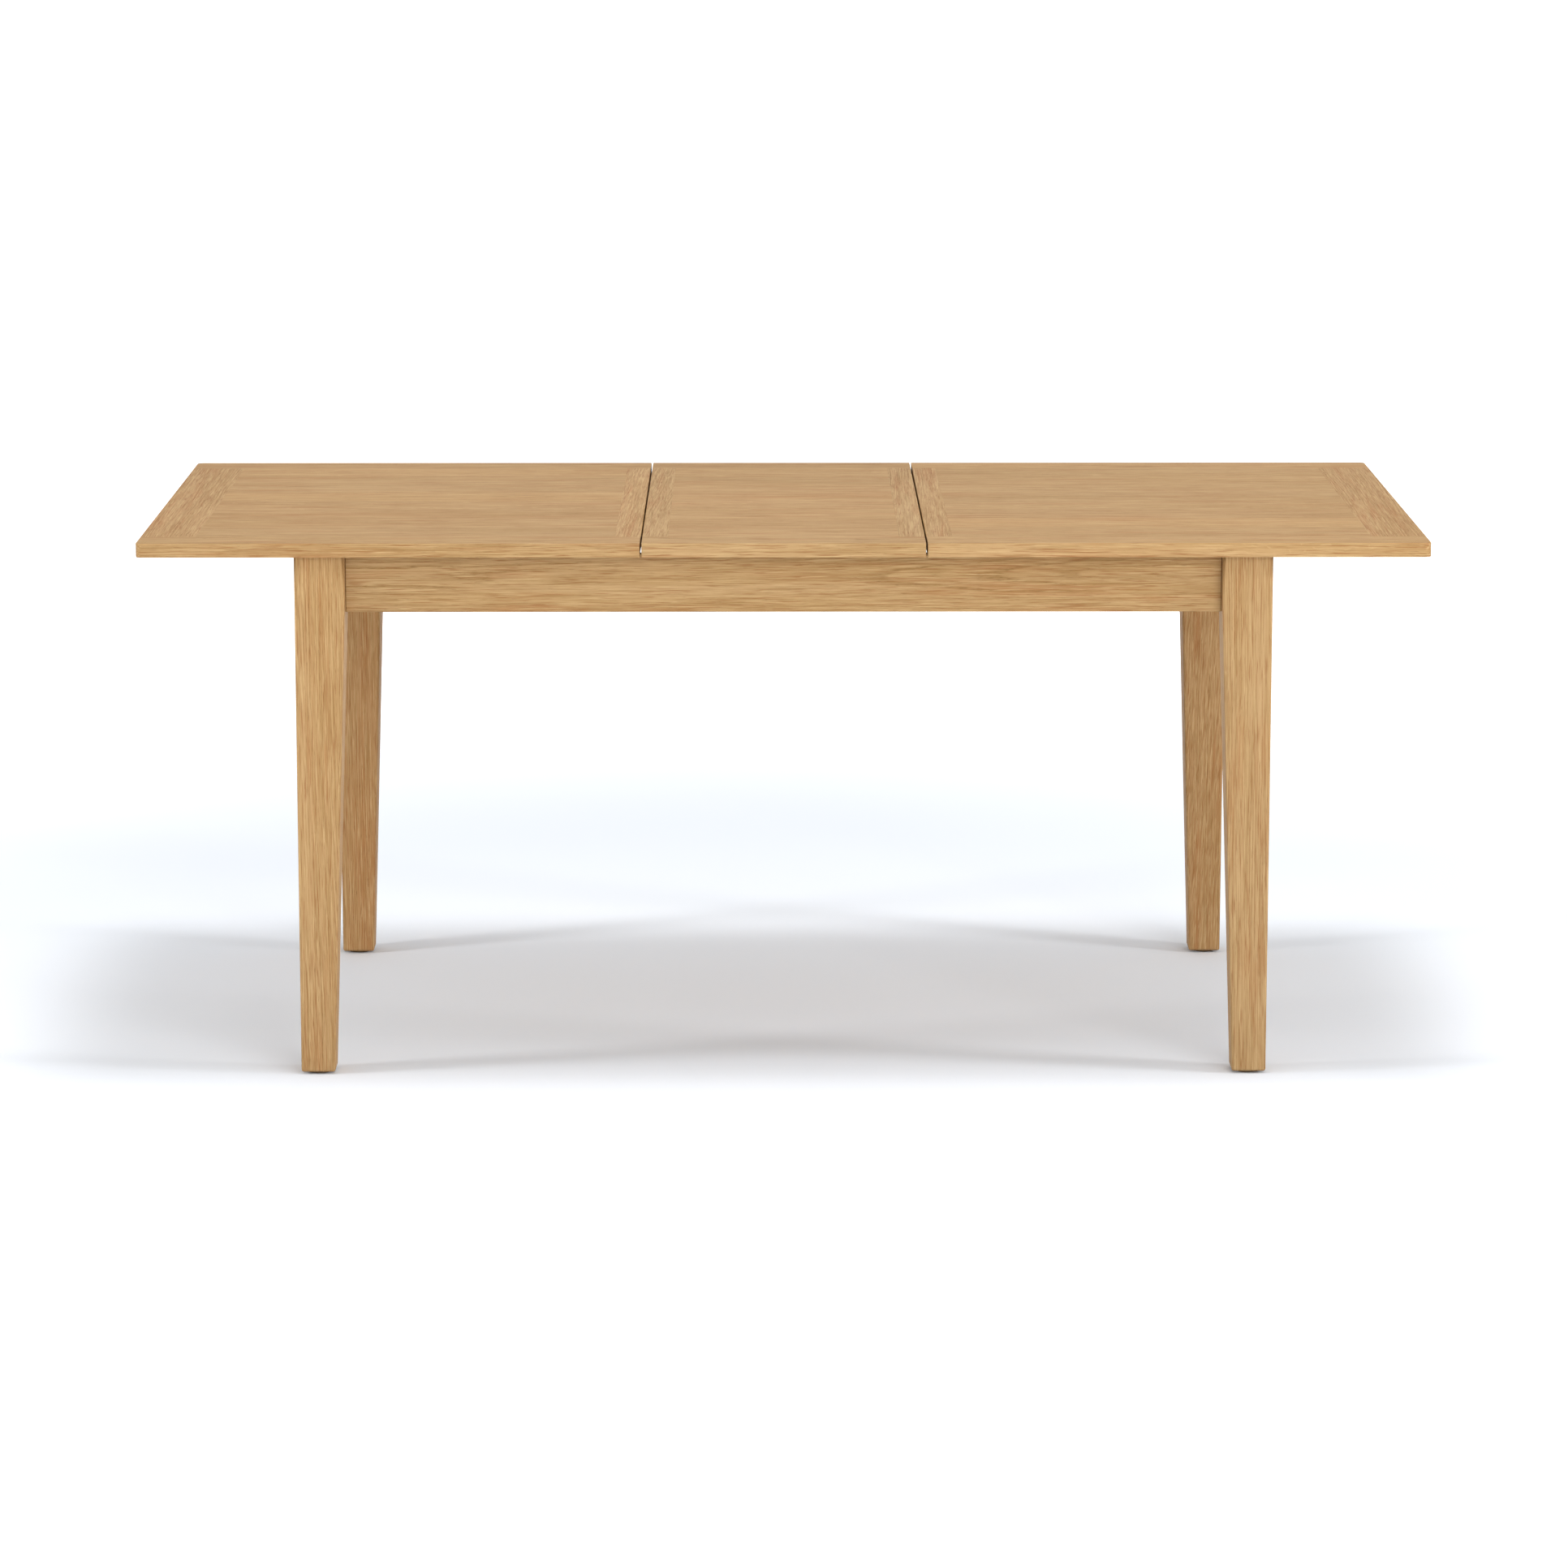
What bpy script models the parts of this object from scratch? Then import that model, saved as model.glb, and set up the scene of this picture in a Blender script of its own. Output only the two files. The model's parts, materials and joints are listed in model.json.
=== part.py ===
"""Extendable oak dining table: a frame on four tapered legs, two top halves on runners, and a leaf.

Metres, +Z up. The origin is on the floor under the middle of the table, +X runs along the table
and +Y towards its rear. The table stands extended, with the leaf between the halves.
"""

import math

import bmesh
import bpy
from mathutils import Matrix, Vector

# Driving dimensions of the whole table
CLOSED_LENGTH = 1.400
EXTENSION = 0.400
WIDTH = 0.900
HEIGHT = 0.760
TOP_THICKNESS = 0.020
SEAM_GAP = 0.0022

# Gaps between pieces
TOUCH = 0.0003
RUNNING = 0.0010

# Top boards
END_BAND = 0.078
SEAM_BAND = 0.036
BORDER_RAIL = 0.068
CORNER_RADIUS = 0.0055
SEAM_CORNER_RADIUS = 0.0032
ARRIS = 0.0025

# Legs and aprons
OVERHANG = 0.018
LEG_WIDTH = 0.070
FOOT_WIDTH = 0.048
LEG_ARRIS = 0.0035
FOOT_CHAMFER = 0.0030
APRON_HEIGHT = 0.082
APRON_THICKNESS = 0.022
APRON_RECESS = 0.020
APRON_ARRIS = 0.0015

# Foot glides
GLIDE_RADIUS = 0.017
GLIDE_HEIGHT = 0.0035
GLIDE_STEM_RADIUS = 0.005
GLIDE_STEM_LENGTH = 0.015

# Corner blocks and their hanger bolts
BLOCK_HEIGHT = 0.028
BLOCK_THICKNESS = 0.030
BLOCK_LIFT = 0.004
BLOCK_LEG_GAP = 0.003
BOLT_RADIUS = 0.004
BOLT_IN_LEG = 0.042
BOLT_PAST_BLOCK = 0.016
NUT_RADIUS = 0.0075
NUT_HEIGHT = 0.0065

# Guide rails and runners
RAIL_WIDTH = 0.0277
RAIL_HEIGHT = 0.040
RAIL_DROP = 0.005
GROOVE_DEPTH = 0.012
GROOVE_HEIGHT = 0.012
GROOVE_RISE = 0.012
RUNNER_WIDTH = 0.026
RUNNER_HEIGHT = 0.038
TONGUE_LENGTH = 0.010
TONGUE_PLAY = 0.0006

# Centre bearer and leaf pegs
BEARER_WIDTH = 0.045
BEARER_END_HEIGHT = 0.030
BEARER_PAD_HALF = 0.155
PEG_RADIUS = 0.005
PEG_IN_LEAF = 0.012
PEG_BELOW_LEAF = 0.022
PEG_Y = 0.120

# Catches: lever, pivot screw and keeper pin
LEVER_THICKNESS = 0.0030
LEVER_HALF_WIDTH = 0.009
LEVER_REACH = 0.057
HOOK_RADIUS = 0.010
SLOT_RADIUS = 0.0036
FINGER_HEIGHT = 0.006
PIVOT_FROM_SEAM = 0.045
SCREW_RADIUS = 0.0025
SCREW_IN_TOP = 0.012
SCREW_HEAD_RADIUS = 0.0055
SCREW_HEAD_FLAT = 0.0038
SCREW_HEAD_HEIGHT = 0.0030
KEEPER_RADIUS = 0.0030
KEEPER_IN_LEAF = 0.012
KEEPER_BELOW_LEAF = 0.009
LEFT_CATCH_Y = 0.318
RIGHT_CATCH_Y = 0.232

# Worked out from the above
UNDERSIDE = HEIGHT - TOP_THICKNESS
HALF_WIDTH = WIDTH / 2
SEAM_X = EXTENSION / 2
END_X = SEAM_X + CLOSED_LENGTH / 2
LEAF_END_X = SEAM_X - SEAM_GAP
LEG_OUTER_X = CLOSED_LENGTH / 2 - OVERHANG
LEG_OUTER_Y = HALF_WIDTH - OVERHANG
LEG_INNER_X = LEG_OUTER_X - LEG_WIDTH
LEG_INNER_Y = LEG_OUTER_Y - LEG_WIDTH
FRAME_TOP = UNDERSIDE - RUNNING
APRON_BOTTOM = UNDERSIDE - APRON_HEIGHT
APRON_INNER_X = LEG_OUTER_X - APRON_RECESS - APRON_THICKNESS
APRON_INNER_Y = LEG_OUTER_Y - APRON_RECESS - APRON_THICKNESS
BLOCK_BOTTOM = APRON_BOTTOM + BLOCK_LIFT
BOLT_Z = BLOCK_BOTTOM + BLOCK_HEIGHT / 2
RAIL_TOP = UNDERSIDE - RAIL_DROP
RAIL_BOTTOM = RAIL_TOP - RAIL_HEIGHT
RAIL_INNER_Y = APRON_INNER_Y - TOUCH - RAIL_WIDTH
GROOVE_BOTTOM = RAIL_BOTTOM + GROOVE_RISE
GROOVE_TOP = GROOVE_BOTTOM + GROOVE_HEIGHT
RUNNER_TOP = UNDERSIDE - TOUCH
RUNNER_OUTER_Y = RAIL_INNER_Y - RUNNING
RUNNER_INNER_Y = RUNNER_OUTER_Y - RUNNER_WIDTH
LEVER_TOP = UNDERSIDE - TOUCH
LEVER_BOTTOM = LEVER_TOP - LEVER_THICKNESS

ROUND_SIDES = 24
SHARP_ANGLE = math.radians(40)
SIDES = {"left": -1, "right": 1}
ENDS = {"front": -1, "rear": 1}
UP = Vector((0, 0, 1))


def clear_scene():
    """Removes every object of the scene."""
    for obj in list(bpy.data.objects):
        bpy.data.objects.remove(obj, do_unlink=True)


def new_collection(name):
    """A collection of this name, linked to the scene."""
    collection = bpy.data.collections.new(name)
    bpy.context.scene.collection.children.link(collection)
    return collection


def make_material(name, colour, roughness, metallic):
    """A Principled BSDF material of one linear colour."""
    material = bpy.data.materials.new(name)
    material.use_nodes = True
    shader = material.node_tree.nodes["Principled BSDF"]
    shader.inputs["Base Color"].default_value = (*colour, 1)
    shader.inputs["Roughness"].default_value = roughness
    shader.inputs["Metallic"].default_value = metallic
    material.diffuse_color = (*colour, 1)
    return material


clear_scene()
TABLE = new_collection("extendable_dining_table")
CUTTERS = new_collection("cutters")
OAK_TOP = make_material("oak_top", (0.52, 0.35, 0.17), 0.50, 0)
OAK_FRAME = make_material("oak_frame", (0.45, 0.28, 0.12), 0.50, 0)
BEECH = make_material("beech", (0.60, 0.42, 0.25), 0.60, 0)
ZINC_STEEL = make_material("zinc_steel", (0.62, 0.62, 0.60), 0.35, 1)
NYLON = make_material("nylon", (0.093, 0.060, 0.028), 0.55, 0)


def empty(name, location):
    """An empty that a moving group of pieces hangs on."""
    holder = bpy.data.objects.new(name, None)
    holder.location = location
    TABLE.objects.link(holder)
    return holder


LEFT_TOP = empty("left_top", (-(SEAM_X + END_X) / 2, 0, UNDERSIDE))
RIGHT_TOP = empty("right_top", ((SEAM_X + END_X) / 2, 0, UNDERSIDE))
LEAF = empty("leaf", (0, 0, UNDERSIDE))


def place(obj, location, rotation=(0, 0, 0), parent=None):
    """Sets an object's place in the world, under its parent if it has one."""
    obj.rotation_euler = rotation
    obj.parent = parent
    obj.location = Vector(location) - (parent.location if parent else Vector())
    return obj


def from_bmesh(name, bm, material):
    """Turns a bmesh into a named piece of the table, with its rounded edges shaded smooth."""
    bmesh.ops.recalc_face_normals(bm, faces=bm.faces)
    mesh = bpy.data.meshes.new(name)
    bm.to_mesh(mesh)
    bm.free()
    mesh.shade_smooth()
    mesh.set_sharp_from_angle(angle=SHARP_ANGLE)
    mesh.materials.append(material)
    obj = bpy.data.objects.new(name, mesh)
    TABLE.objects.link(obj)
    return obj


def cube_bmesh(low, high):
    """A bmesh box between two corners."""
    low, high = Vector(low), Vector(high)
    bm = bmesh.new()
    size = Matrix.Diagonal((*(high - low), 1))
    bmesh.ops.create_cube(bm, size=1, matrix=Matrix.Translation((low + high) / 2) @ size)
    return bm


def turned(name, profile, material):
    """A round piece from (radius, height) points that run down its outer side from the axis."""
    mesh = bpy.data.meshes.new(name)
    points = [(radius, 0, height) for radius, height in profile]
    mesh.from_pydata(points, [(i, i + 1) for i in range(len(points) - 1)], [])
    mesh.materials.append(material)
    obj = bpy.data.objects.new(name, mesh)
    TABLE.objects.link(obj)
    screw = obj.modifiers.new("Turn", "SCREW")
    screw.steps = ROUND_SIDES
    screw.render_steps = ROUND_SIDES
    screw.use_merge_vertices = True
    screw.merge_threshold = 0.00001
    screw.use_smooth_shade = True
    return obj


def arc(centre, radius, start, end, steps):
    """Points along an arc, in degrees from start to end."""
    angles = [math.radians(start + (end - start) * i / steps) for i in range(steps + 1)]
    return [
        (centre[0] + radius * math.cos(a), centre[1] + radius * math.sin(a)) for a in angles
    ]


def prism(name, outline, depth, material):
    """A flat outline in its own XY plane, as thick as depth, centred on that plane."""
    curve = bpy.data.curves.new(name, "CURVE")
    curve.dimensions = "2D"
    curve.fill_mode = "BOTH"
    curve.extrude = depth / 2
    spline = curve.splines.new("POLY")
    spline.points.add(len(outline) - 1)
    for point, (x, y) in zip(spline.points, outline):
        point.co = (x, y, 0, 1)
    spline.use_cyclic_u = True
    guide = bpy.data.objects.new(name, curve)
    TABLE.objects.link(guide)
    graph = bpy.context.evaluated_depsgraph_get()
    mesh = bpy.data.meshes.new_from_object(guide.evaluated_get(graph))
    bpy.data.objects.remove(guide, do_unlink=True)
    bpy.data.curves.remove(curve)
    bm = bmesh.new()
    bm.from_mesh(mesh)
    bpy.data.meshes.remove(mesh)
    bmesh.ops.remove_doubles(bm, verts=bm.verts, dist=0.000001)
    return from_bmesh(name, bm, material)


def along(direction):
    """The rotation that turns local Z to this direction."""
    return Vector(direction).to_track_quat("Z", "Y").to_euler()


def hole(obj, centre, direction, radius, length):
    """Drills a round hole into a piece, length long and centred on a point in the world."""
    bm = bmesh.new()
    bmesh.ops.create_cone(
        bm, cap_ends=True, segments=ROUND_SIDES, radius1=radius, radius2=radius, depth=length
    )
    mesh = bpy.data.meshes.new("hole")
    bm.to_mesh(mesh)
    bm.free()
    cutter = bpy.data.objects.new(obj.name + "_hole", mesh)
    CUTTERS.objects.link(cutter)
    cutter.location = centre
    cutter.rotation_euler = along(direction)
    cutter.hide_render = True
    cutter.display_type = "WIRE"
    cut = obj.modifiers.new("Hole", "BOOLEAN")
    cut.operation = "DIFFERENCE"
    cut.solver = "EXACT"
    cut.object = cutter


def soften(obj, width):
    """Takes the sharpness off a sawn piece's edges."""
    bevel = obj.modifiers.new("Arris", "BEVEL")
    bevel.width = width
    bevel.segments = 1
    bevel.limit_method = "ANGLE"
    bevel.angle_limit = SHARP_ANGLE


def is_upright(edge):
    """True for an edge that runs up and down, also on a slope."""
    return abs((edge.verts[0].co - edge.verts[1].co).normalized().z) > 0.5


def top_section(x_low, x_high, radius_low, radius_high):
    """One section of the top as a bmesh: its corners rounded in plan, then all its arrises."""
    bm = cube_bmesh((x_low, -HALF_WIDTH, UNDERSIDE), (x_high, HALF_WIDTH, HEIGHT))
    for x, radius in ((x_low, radius_low), (x_high, radius_high)):
        corners = [e for e in bm.edges if is_upright(e) and abs(e.verts[0].co.x - x) < TOUCH]
        bmesh.ops.bevel(
            bm, geom=corners, offset=radius, segments=3, profile=0.5, affect="EDGES"
        )
    arrises = [e for e in bm.edges if not is_upright(e)]
    bmesh.ops.bevel(bm, geom=arrises, offset=ARRIS, segments=2, profile=0.5, affect="EDGES")
    return bm


def cut_off(bm, place_on_plane, outward):
    """Cuts away what lies past a plane, on its outward side, and closes the cut."""
    geometry = bm.verts[:] + bm.edges[:] + bm.faces[:]
    result = bmesh.ops.bisect_plane(
        bm, geom=geometry, plane_co=place_on_plane, plane_no=outward, clear_outer=True
    )
    edges = [item for item in result["geom_cut"] if isinstance(item, bmesh.types.BMEdge)]
    bmesh.ops.contextual_create(bm, geom=edges)


def top_board(name, section, parent, x_range, y_range):
    """One board of a section of the top: what lies between two places along X and along Y."""
    bm = top_section(*section)
    for axis, limits in enumerate((x_range, y_range)):
        for limit, sign in zip(limits, (-1, 1)):
            if limit is None:
                continue
            outward = Vector((0, 0, 0))
            outward[axis] = sign
            cut_off(bm, outward * limit * sign, outward)
    bm.transform(Matrix.Translation(-parent.location))
    obj = from_bmesh(name, bm, OAK_TOP)
    return place(obj, parent.location, parent=parent)


def top_frame(names, section, parent, low_band, high_band):
    """Field, two bands and two border rails of one section. None in a range is an outer edge."""
    rail_y = HALF_WIDTH - BORDER_RAIL
    band_y = (-rail_y + TOUCH, rail_y - TOUCH)
    field_low = section[0] + low_band
    field_high = section[1] - high_band
    field = top_board(names["field"], section, parent, (field_low, field_high), band_y)
    low = top_board(names["low"], section, parent, (None, field_low - TOUCH), band_y)
    high = top_board(names["high"], section, parent, (field_high + TOUCH, None), band_y)
    top_board(names["front"], section, parent, (None, None), (None, -rail_y))
    top_board(names["rear"], section, parent, (None, None), (rail_y, None))
    return field, low, high


def make_top():
    """The boards of both halves and of the leaf, and the pieces under them."""
    left_section = (-END_X, -SEAM_X, CORNER_RADIUS, SEAM_CORNER_RADIUS)
    right_section = (SEAM_X, END_X, SEAM_CORNER_RADIUS, CORNER_RADIUS)
    leaf_section = (-LEAF_END_X, LEAF_END_X, SEAM_CORNER_RADIUS, SEAM_CORNER_RADIUS)
    left_names = {
        "field": "left_top_field",
        "low": "left_top_end_band",
        "high": "left_top_seam_band",
        "front": "left_top_front_rail",
        "rear": "left_top_rear_rail",
    }
    right_names = {
        "field": "right_top_field",
        "low": "right_top_seam_band",
        "high": "right_top_end_band",
        "front": "right_top_front_rail",
        "rear": "right_top_rear_rail",
    }
    leaf_names = {
        "field": "leaf_field",
        "low": "leaf_left_band",
        "high": "leaf_right_band",
        "front": "leaf_front_rail",
        "rear": "leaf_rear_rail",
    }
    left_field = top_frame(left_names, left_section, LEFT_TOP, END_BAND, SEAM_BAND)[0]
    right_field = top_frame(right_names, right_section, RIGHT_TOP, SEAM_BAND, END_BAND)[0]
    leaf_boards = top_frame(leaf_names, leaf_section, LEAF, SEAM_BAND, SEAM_BAND)
    leaf_field, left_band, right_band = leaf_boards
    make_runners()
    make_catches("left", left_field, left_band, LEFT_TOP, LEFT_CATCH_Y)
    make_catches("right", right_field, right_band, RIGHT_TOP, RIGHT_CATCH_Y)
    make_pegs(leaf_field)


def make_leg(name, side, end):
    """A leg: square down to the aprons, then tapered on its two inner faces."""
    outer = Vector((side * LEG_OUTER_X, end * LEG_OUTER_Y, 0))
    inner = Vector((side * LEG_INNER_X, end * LEG_INNER_Y, 0))
    low = (min(outer.x, inner.x), min(outer.y, inner.y), GLIDE_HEIGHT)
    high = (max(outer.x, inner.x), max(outer.y, inner.y), FRAME_TOP)
    bm = cube_bmesh(low, high)
    geometry = bm.verts[:] + bm.edges[:] + bm.faces[:]
    bmesh.ops.bisect_plane(bm, geom=geometry, plane_co=(0, 0, APRON_BOTTOM), plane_no=UP)
    for vert in bm.verts:
        if vert.co.z > APRON_BOTTOM - TOUCH:
            continue
        if abs(vert.co.x) < LEG_OUTER_X - TOUCH:
            vert.co.x += side * (LEG_WIDTH - FOOT_WIDTH)
        if abs(vert.co.y) < LEG_OUTER_Y - TOUCH:
            vert.co.y += end * (LEG_WIDTH - FOOT_WIDTH)
    uprights = [e for e in bm.edges if is_upright(e)]
    bmesh.ops.bevel(
        bm, geom=uprights, offset=LEG_ARRIS, segments=3, profile=0.5, affect="EDGES"
    )
    foot = [e for e in bm.edges if max(v.co.z for v in e.verts) < GLIDE_HEIGHT + TOUCH]
    bmesh.ops.bevel(bm, geom=foot, offset=FOOT_CHAMFER, segments=1, affect="EDGES")
    bm.transform(Matrix.Translation(-outer))
    return place(from_bmesh(name, bm, OAK_FRAME), outer)


def make_apron(name, low, high):
    """An apron board between two legs."""
    middle = (Vector(low) + Vector(high)) / 2
    bm = cube_bmesh(Vector(low) - middle, Vector(high) - middle)
    apron = place(from_bmesh(name, bm, OAK_FRAME), middle)
    soften(apron, APRON_ARRIS)


def make_aprons():
    """Two long aprons and two end aprons, set back from the faces of the legs."""
    long_half = LEG_INNER_X - TOUCH
    short_half = LEG_INNER_Y - TOUCH
    for name, end in ENDS.items():
        faces = sorted((end * APRON_INNER_Y, end * (APRON_INNER_Y + APRON_THICKNESS)))
        low = (-long_half, faces[0], APRON_BOTTOM)
        high = (long_half, faces[1], FRAME_TOP)
        make_apron(name + "_apron", low, high)
    for name, side in SIDES.items():
        faces = sorted((side * APRON_INNER_X, side * (APRON_INNER_X + APRON_THICKNESS)))
        low = (faces[0], -short_half, APRON_BOTTOM)
        high = (faces[1], short_half, FRAME_TOP)
        make_apron(name + "_apron", low, high)


def make_corner(name, side, end, leg):
    """Corner block, hanger bolt, nut and foot glide of one leg."""
    outward = Vector((side, end, 0)).normalized()
    leg_corner = Vector((side * LEG_INNER_X, end * LEG_INNER_Y, BOLT_Z))
    block_face = leg_corner - outward * BLOCK_LEG_GAP
    block_back = block_face - outward * BLOCK_THICKNESS
    limit_x, limit_y = APRON_INNER_X - TOUCH, APRON_INNER_Y - TOUCH
    outline = []
    for point, order in ((block_face, 1), (block_back, -1)):
        reach = abs(point.x) + abs(point.y)
        ends = [(reach - limit_y, limit_y), (limit_x, reach - limit_x)][::order]
        outline += [(side * x, end * y) for x, y in ends]
    if side * end < 0:
        outline.reverse()
    block = prism(name + "_corner_block", outline, BLOCK_HEIGHT, BEECH)
    place(block, (0, 0, BOLT_Z))
    drill_middle = (block_face + block_back) / 2
    hole(block, drill_middle, outward, BOLT_RADIUS + TOUCH, BLOCK_THICKNESS * 2)
    soften(block, APRON_ARRIS / 2)

    hole(leg, leg_corner, outward, BOLT_RADIUS + TOUCH, 2 * (BOLT_IN_LEG + TOUCH))
    bolt_end = leg_corner + outward * BOLT_IN_LEG
    bolt_length = BOLT_IN_LEG + BLOCK_LEG_GAP + BLOCK_THICKNESS + BOLT_PAST_BLOCK
    tip = BOLT_RADIUS / 4
    profile = [
        (0, bolt_length),
        (BOLT_RADIUS - tip, bolt_length),
        (BOLT_RADIUS, bolt_length - tip),
        (BOLT_RADIUS, tip),
        (BOLT_RADIUS - tip, 0),
        (0, 0),
    ]
    bolt = turned(name + "_hanger_bolt", profile, ZINC_STEEL)
    place(bolt, bolt_end, along(-outward))

    nut_bmesh = bmesh.new()
    bmesh.ops.create_cone(
        nut_bmesh,
        cap_ends=True,
        segments=6,
        radius1=NUT_RADIUS,
        radius2=NUT_RADIUS,
        depth=NUT_HEIGHT,
    )
    nut = from_bmesh(name + "_hanger_nut", nut_bmesh, ZINC_STEEL)
    nut_middle = block_back - outward * (TOUCH + NUT_HEIGHT / 2)
    place(nut, nut_middle, along(-outward))
    hole(nut, nut_middle, outward, BOLT_RADIUS + TOUCH, NUT_HEIGHT * 2)
    make_glide(name, side, end, leg)


def make_glide(name, side, end, leg):
    """A domed glide under a leg, with a stem driven into the end grain."""
    inset = FOOT_WIDTH / 2
    middle = Vector((side * (LEG_OUTER_X - inset), end * (LEG_OUTER_Y - inset), 0))
    flange_top = GLIDE_HEIGHT - TOUCH
    profile = [
        (0, flange_top + GLIDE_STEM_LENGTH),
        (GLIDE_STEM_RADIUS, flange_top + GLIDE_STEM_LENGTH),
        (GLIDE_STEM_RADIUS, flange_top),
        (GLIDE_RADIUS, flange_top),
        (GLIDE_RADIUS, flange_top / 2),
        (GLIDE_RADIUS - flange_top / 2, 0),
        (0, 0),
    ]
    place(turned(name + "_foot_glide", profile, NYLON), middle)
    hole(leg, middle + UP * GLIDE_HEIGHT, UP, GLIDE_STEM_RADIUS + TOUCH, 2 * GLIDE_STEM_LENGTH)


def x_bar(name, outline, x_low, x_high, material, parent=None):
    """A straight bar along X, from an outline of (y, z) points."""
    bar = prism(name, outline, x_high - x_low, material)
    return place(bar, ((x_low + x_high) / 2, 0, 0), (math.pi / 2, 0, math.pi / 2), parent)


def make_guide_rails():
    """A grooved rail inside each long apron."""
    outer = APRON_INNER_Y - TOUCH
    floor = RAIL_INNER_Y + GROOVE_DEPTH
    half_length = LEG_INNER_X - TOUCH
    for name, end in ENDS.items():
        outline = [
            (outer, RAIL_BOTTOM),
            (outer, RAIL_TOP),
            (RAIL_INNER_Y, RAIL_TOP),
            (RAIL_INNER_Y, GROOVE_TOP),
            (floor, GROOVE_TOP),
            (floor, GROOVE_BOTTOM),
            (RAIL_INNER_Y, GROOVE_BOTTOM),
            (RAIL_INNER_Y, RAIL_BOTTOM),
        ]
        sided = [(end * y, z) for y, z in outline]
        x_bar(name + "_guide_rail", sided, -half_length, half_length, BEECH)


def make_runners():
    """Two runners under each half. Their tongues meet the legs when the table is open."""
    tongue_y = RUNNER_OUTER_Y + TONGUE_LENGTH
    low_z = GROOVE_BOTTOM + TONGUE_PLAY
    high_z = GROOVE_TOP - TONGUE_PLAY
    runner_bottom = RUNNER_TOP - RUNNER_HEIGHT
    outline = [
        (RUNNER_INNER_Y, runner_bottom),
        (RUNNER_OUTER_Y, runner_bottom),
        (RUNNER_OUTER_Y, low_z),
        (tongue_y, low_z),
        (tongue_y, high_z),
        (RUNNER_OUTER_Y, high_z),
        (RUNNER_OUTER_Y, RUNNER_TOP),
        (RUNNER_INNER_Y, RUNNER_TOP),
    ]
    for side_name, side in SIDES.items():
        parent = LEFT_TOP if side < 0 else RIGHT_TOP
        ends = sorted((side * (SEAM_X + ARRIS), side * (LEG_INNER_X - TOUCH)))
        for end_name, end in ENDS.items():
            sided = [(end * y, z) for y, z in outline]
            x_bar(f"{side_name}_{end_name}_runner", sided, *ends, BEECH, parent)


def make_bearer():
    """The cross bearer. Its middle reaches up to the leaf, and its ends pass under the runners."""
    end_y = APRON_INNER_Y - TOUCH
    bottom = RAIL_BOTTOM - TOUCH - BEARER_END_HEIGHT
    shoulder = RAIL_BOTTOM - TOUCH
    top = UNDERSIDE - TOUCH
    outline = [
        (-end_y, bottom),
        (end_y, bottom),
        (end_y, shoulder),
        (BEARER_PAD_HALF, shoulder),
        (BEARER_PAD_HALF, top),
        (-BEARER_PAD_HALF, top),
        (-BEARER_PAD_HALF, shoulder),
        (-end_y, shoulder),
    ]
    bearer = x_bar("centre_bearer", outline, -BEARER_WIDTH / 2, BEARER_WIDTH / 2, BEECH)
    for end in ENDS.values():
        mouth = Vector((0, end * PEG_Y, top))
        hole(bearer, mouth, UP, PEG_RADIUS + TOUCH, 2 * (PEG_BELOW_LEAF + TOUCH))
    soften(bearer, APRON_ARRIS / 2)


def round_pin(name, radius, low_z, high_z, x, y, material, parent):
    """An upright pin with a chamfer at its lower end."""
    chamfer = radius / 3
    length = high_z - low_z
    profile = [(0, length), (radius, length), (radius, chamfer), (radius - chamfer, 0), (0, 0)]
    return place(turned(name, profile, material), (x, y, low_z), parent=parent)


def make_pegs(leaf_field):
    """Two wooden pegs in the leaf, which drop into the centre bearer."""
    for name, end in ENDS.items():
        low, high = UNDERSIDE - PEG_BELOW_LEAF, UNDERSIDE + PEG_IN_LEAF
        y = end * PEG_Y
        round_pin(f"leaf_{name}_peg", PEG_RADIUS, low, high, 0, y, BEECH, LEAF)
        mouth = Vector((0, y, UNDERSIDE))
        hole(leaf_field, mouth, UP, PEG_RADIUS + TOUCH, 2 * (PEG_IN_LEAF + TOUCH))


def lever_outline():
    """A flat lever from its pivot at the origin along +X, with a hook that opens to +Y."""
    finger_radius = (HOOK_RADIUS - SLOT_RADIUS) / 2
    finger_x = LEVER_REACH + SLOT_RADIUS + finger_radius
    outline = arc((0, 0), LEVER_HALF_WIDTH, 90, 270, 8)
    outline += arc((LEVER_REACH, HOOK_RADIUS - LEVER_HALF_WIDTH), HOOK_RADIUS, -90, 0, 5)
    outline += arc((finger_x, FINGER_HEIGHT), finger_radius, 0, 180, 6)
    outline += arc((LEVER_REACH, 0), SLOT_RADIUS, 0, -180, 8)
    outline.append((LEVER_REACH - SLOT_RADIUS, LEVER_HALF_WIDTH))
    return outline


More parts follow.
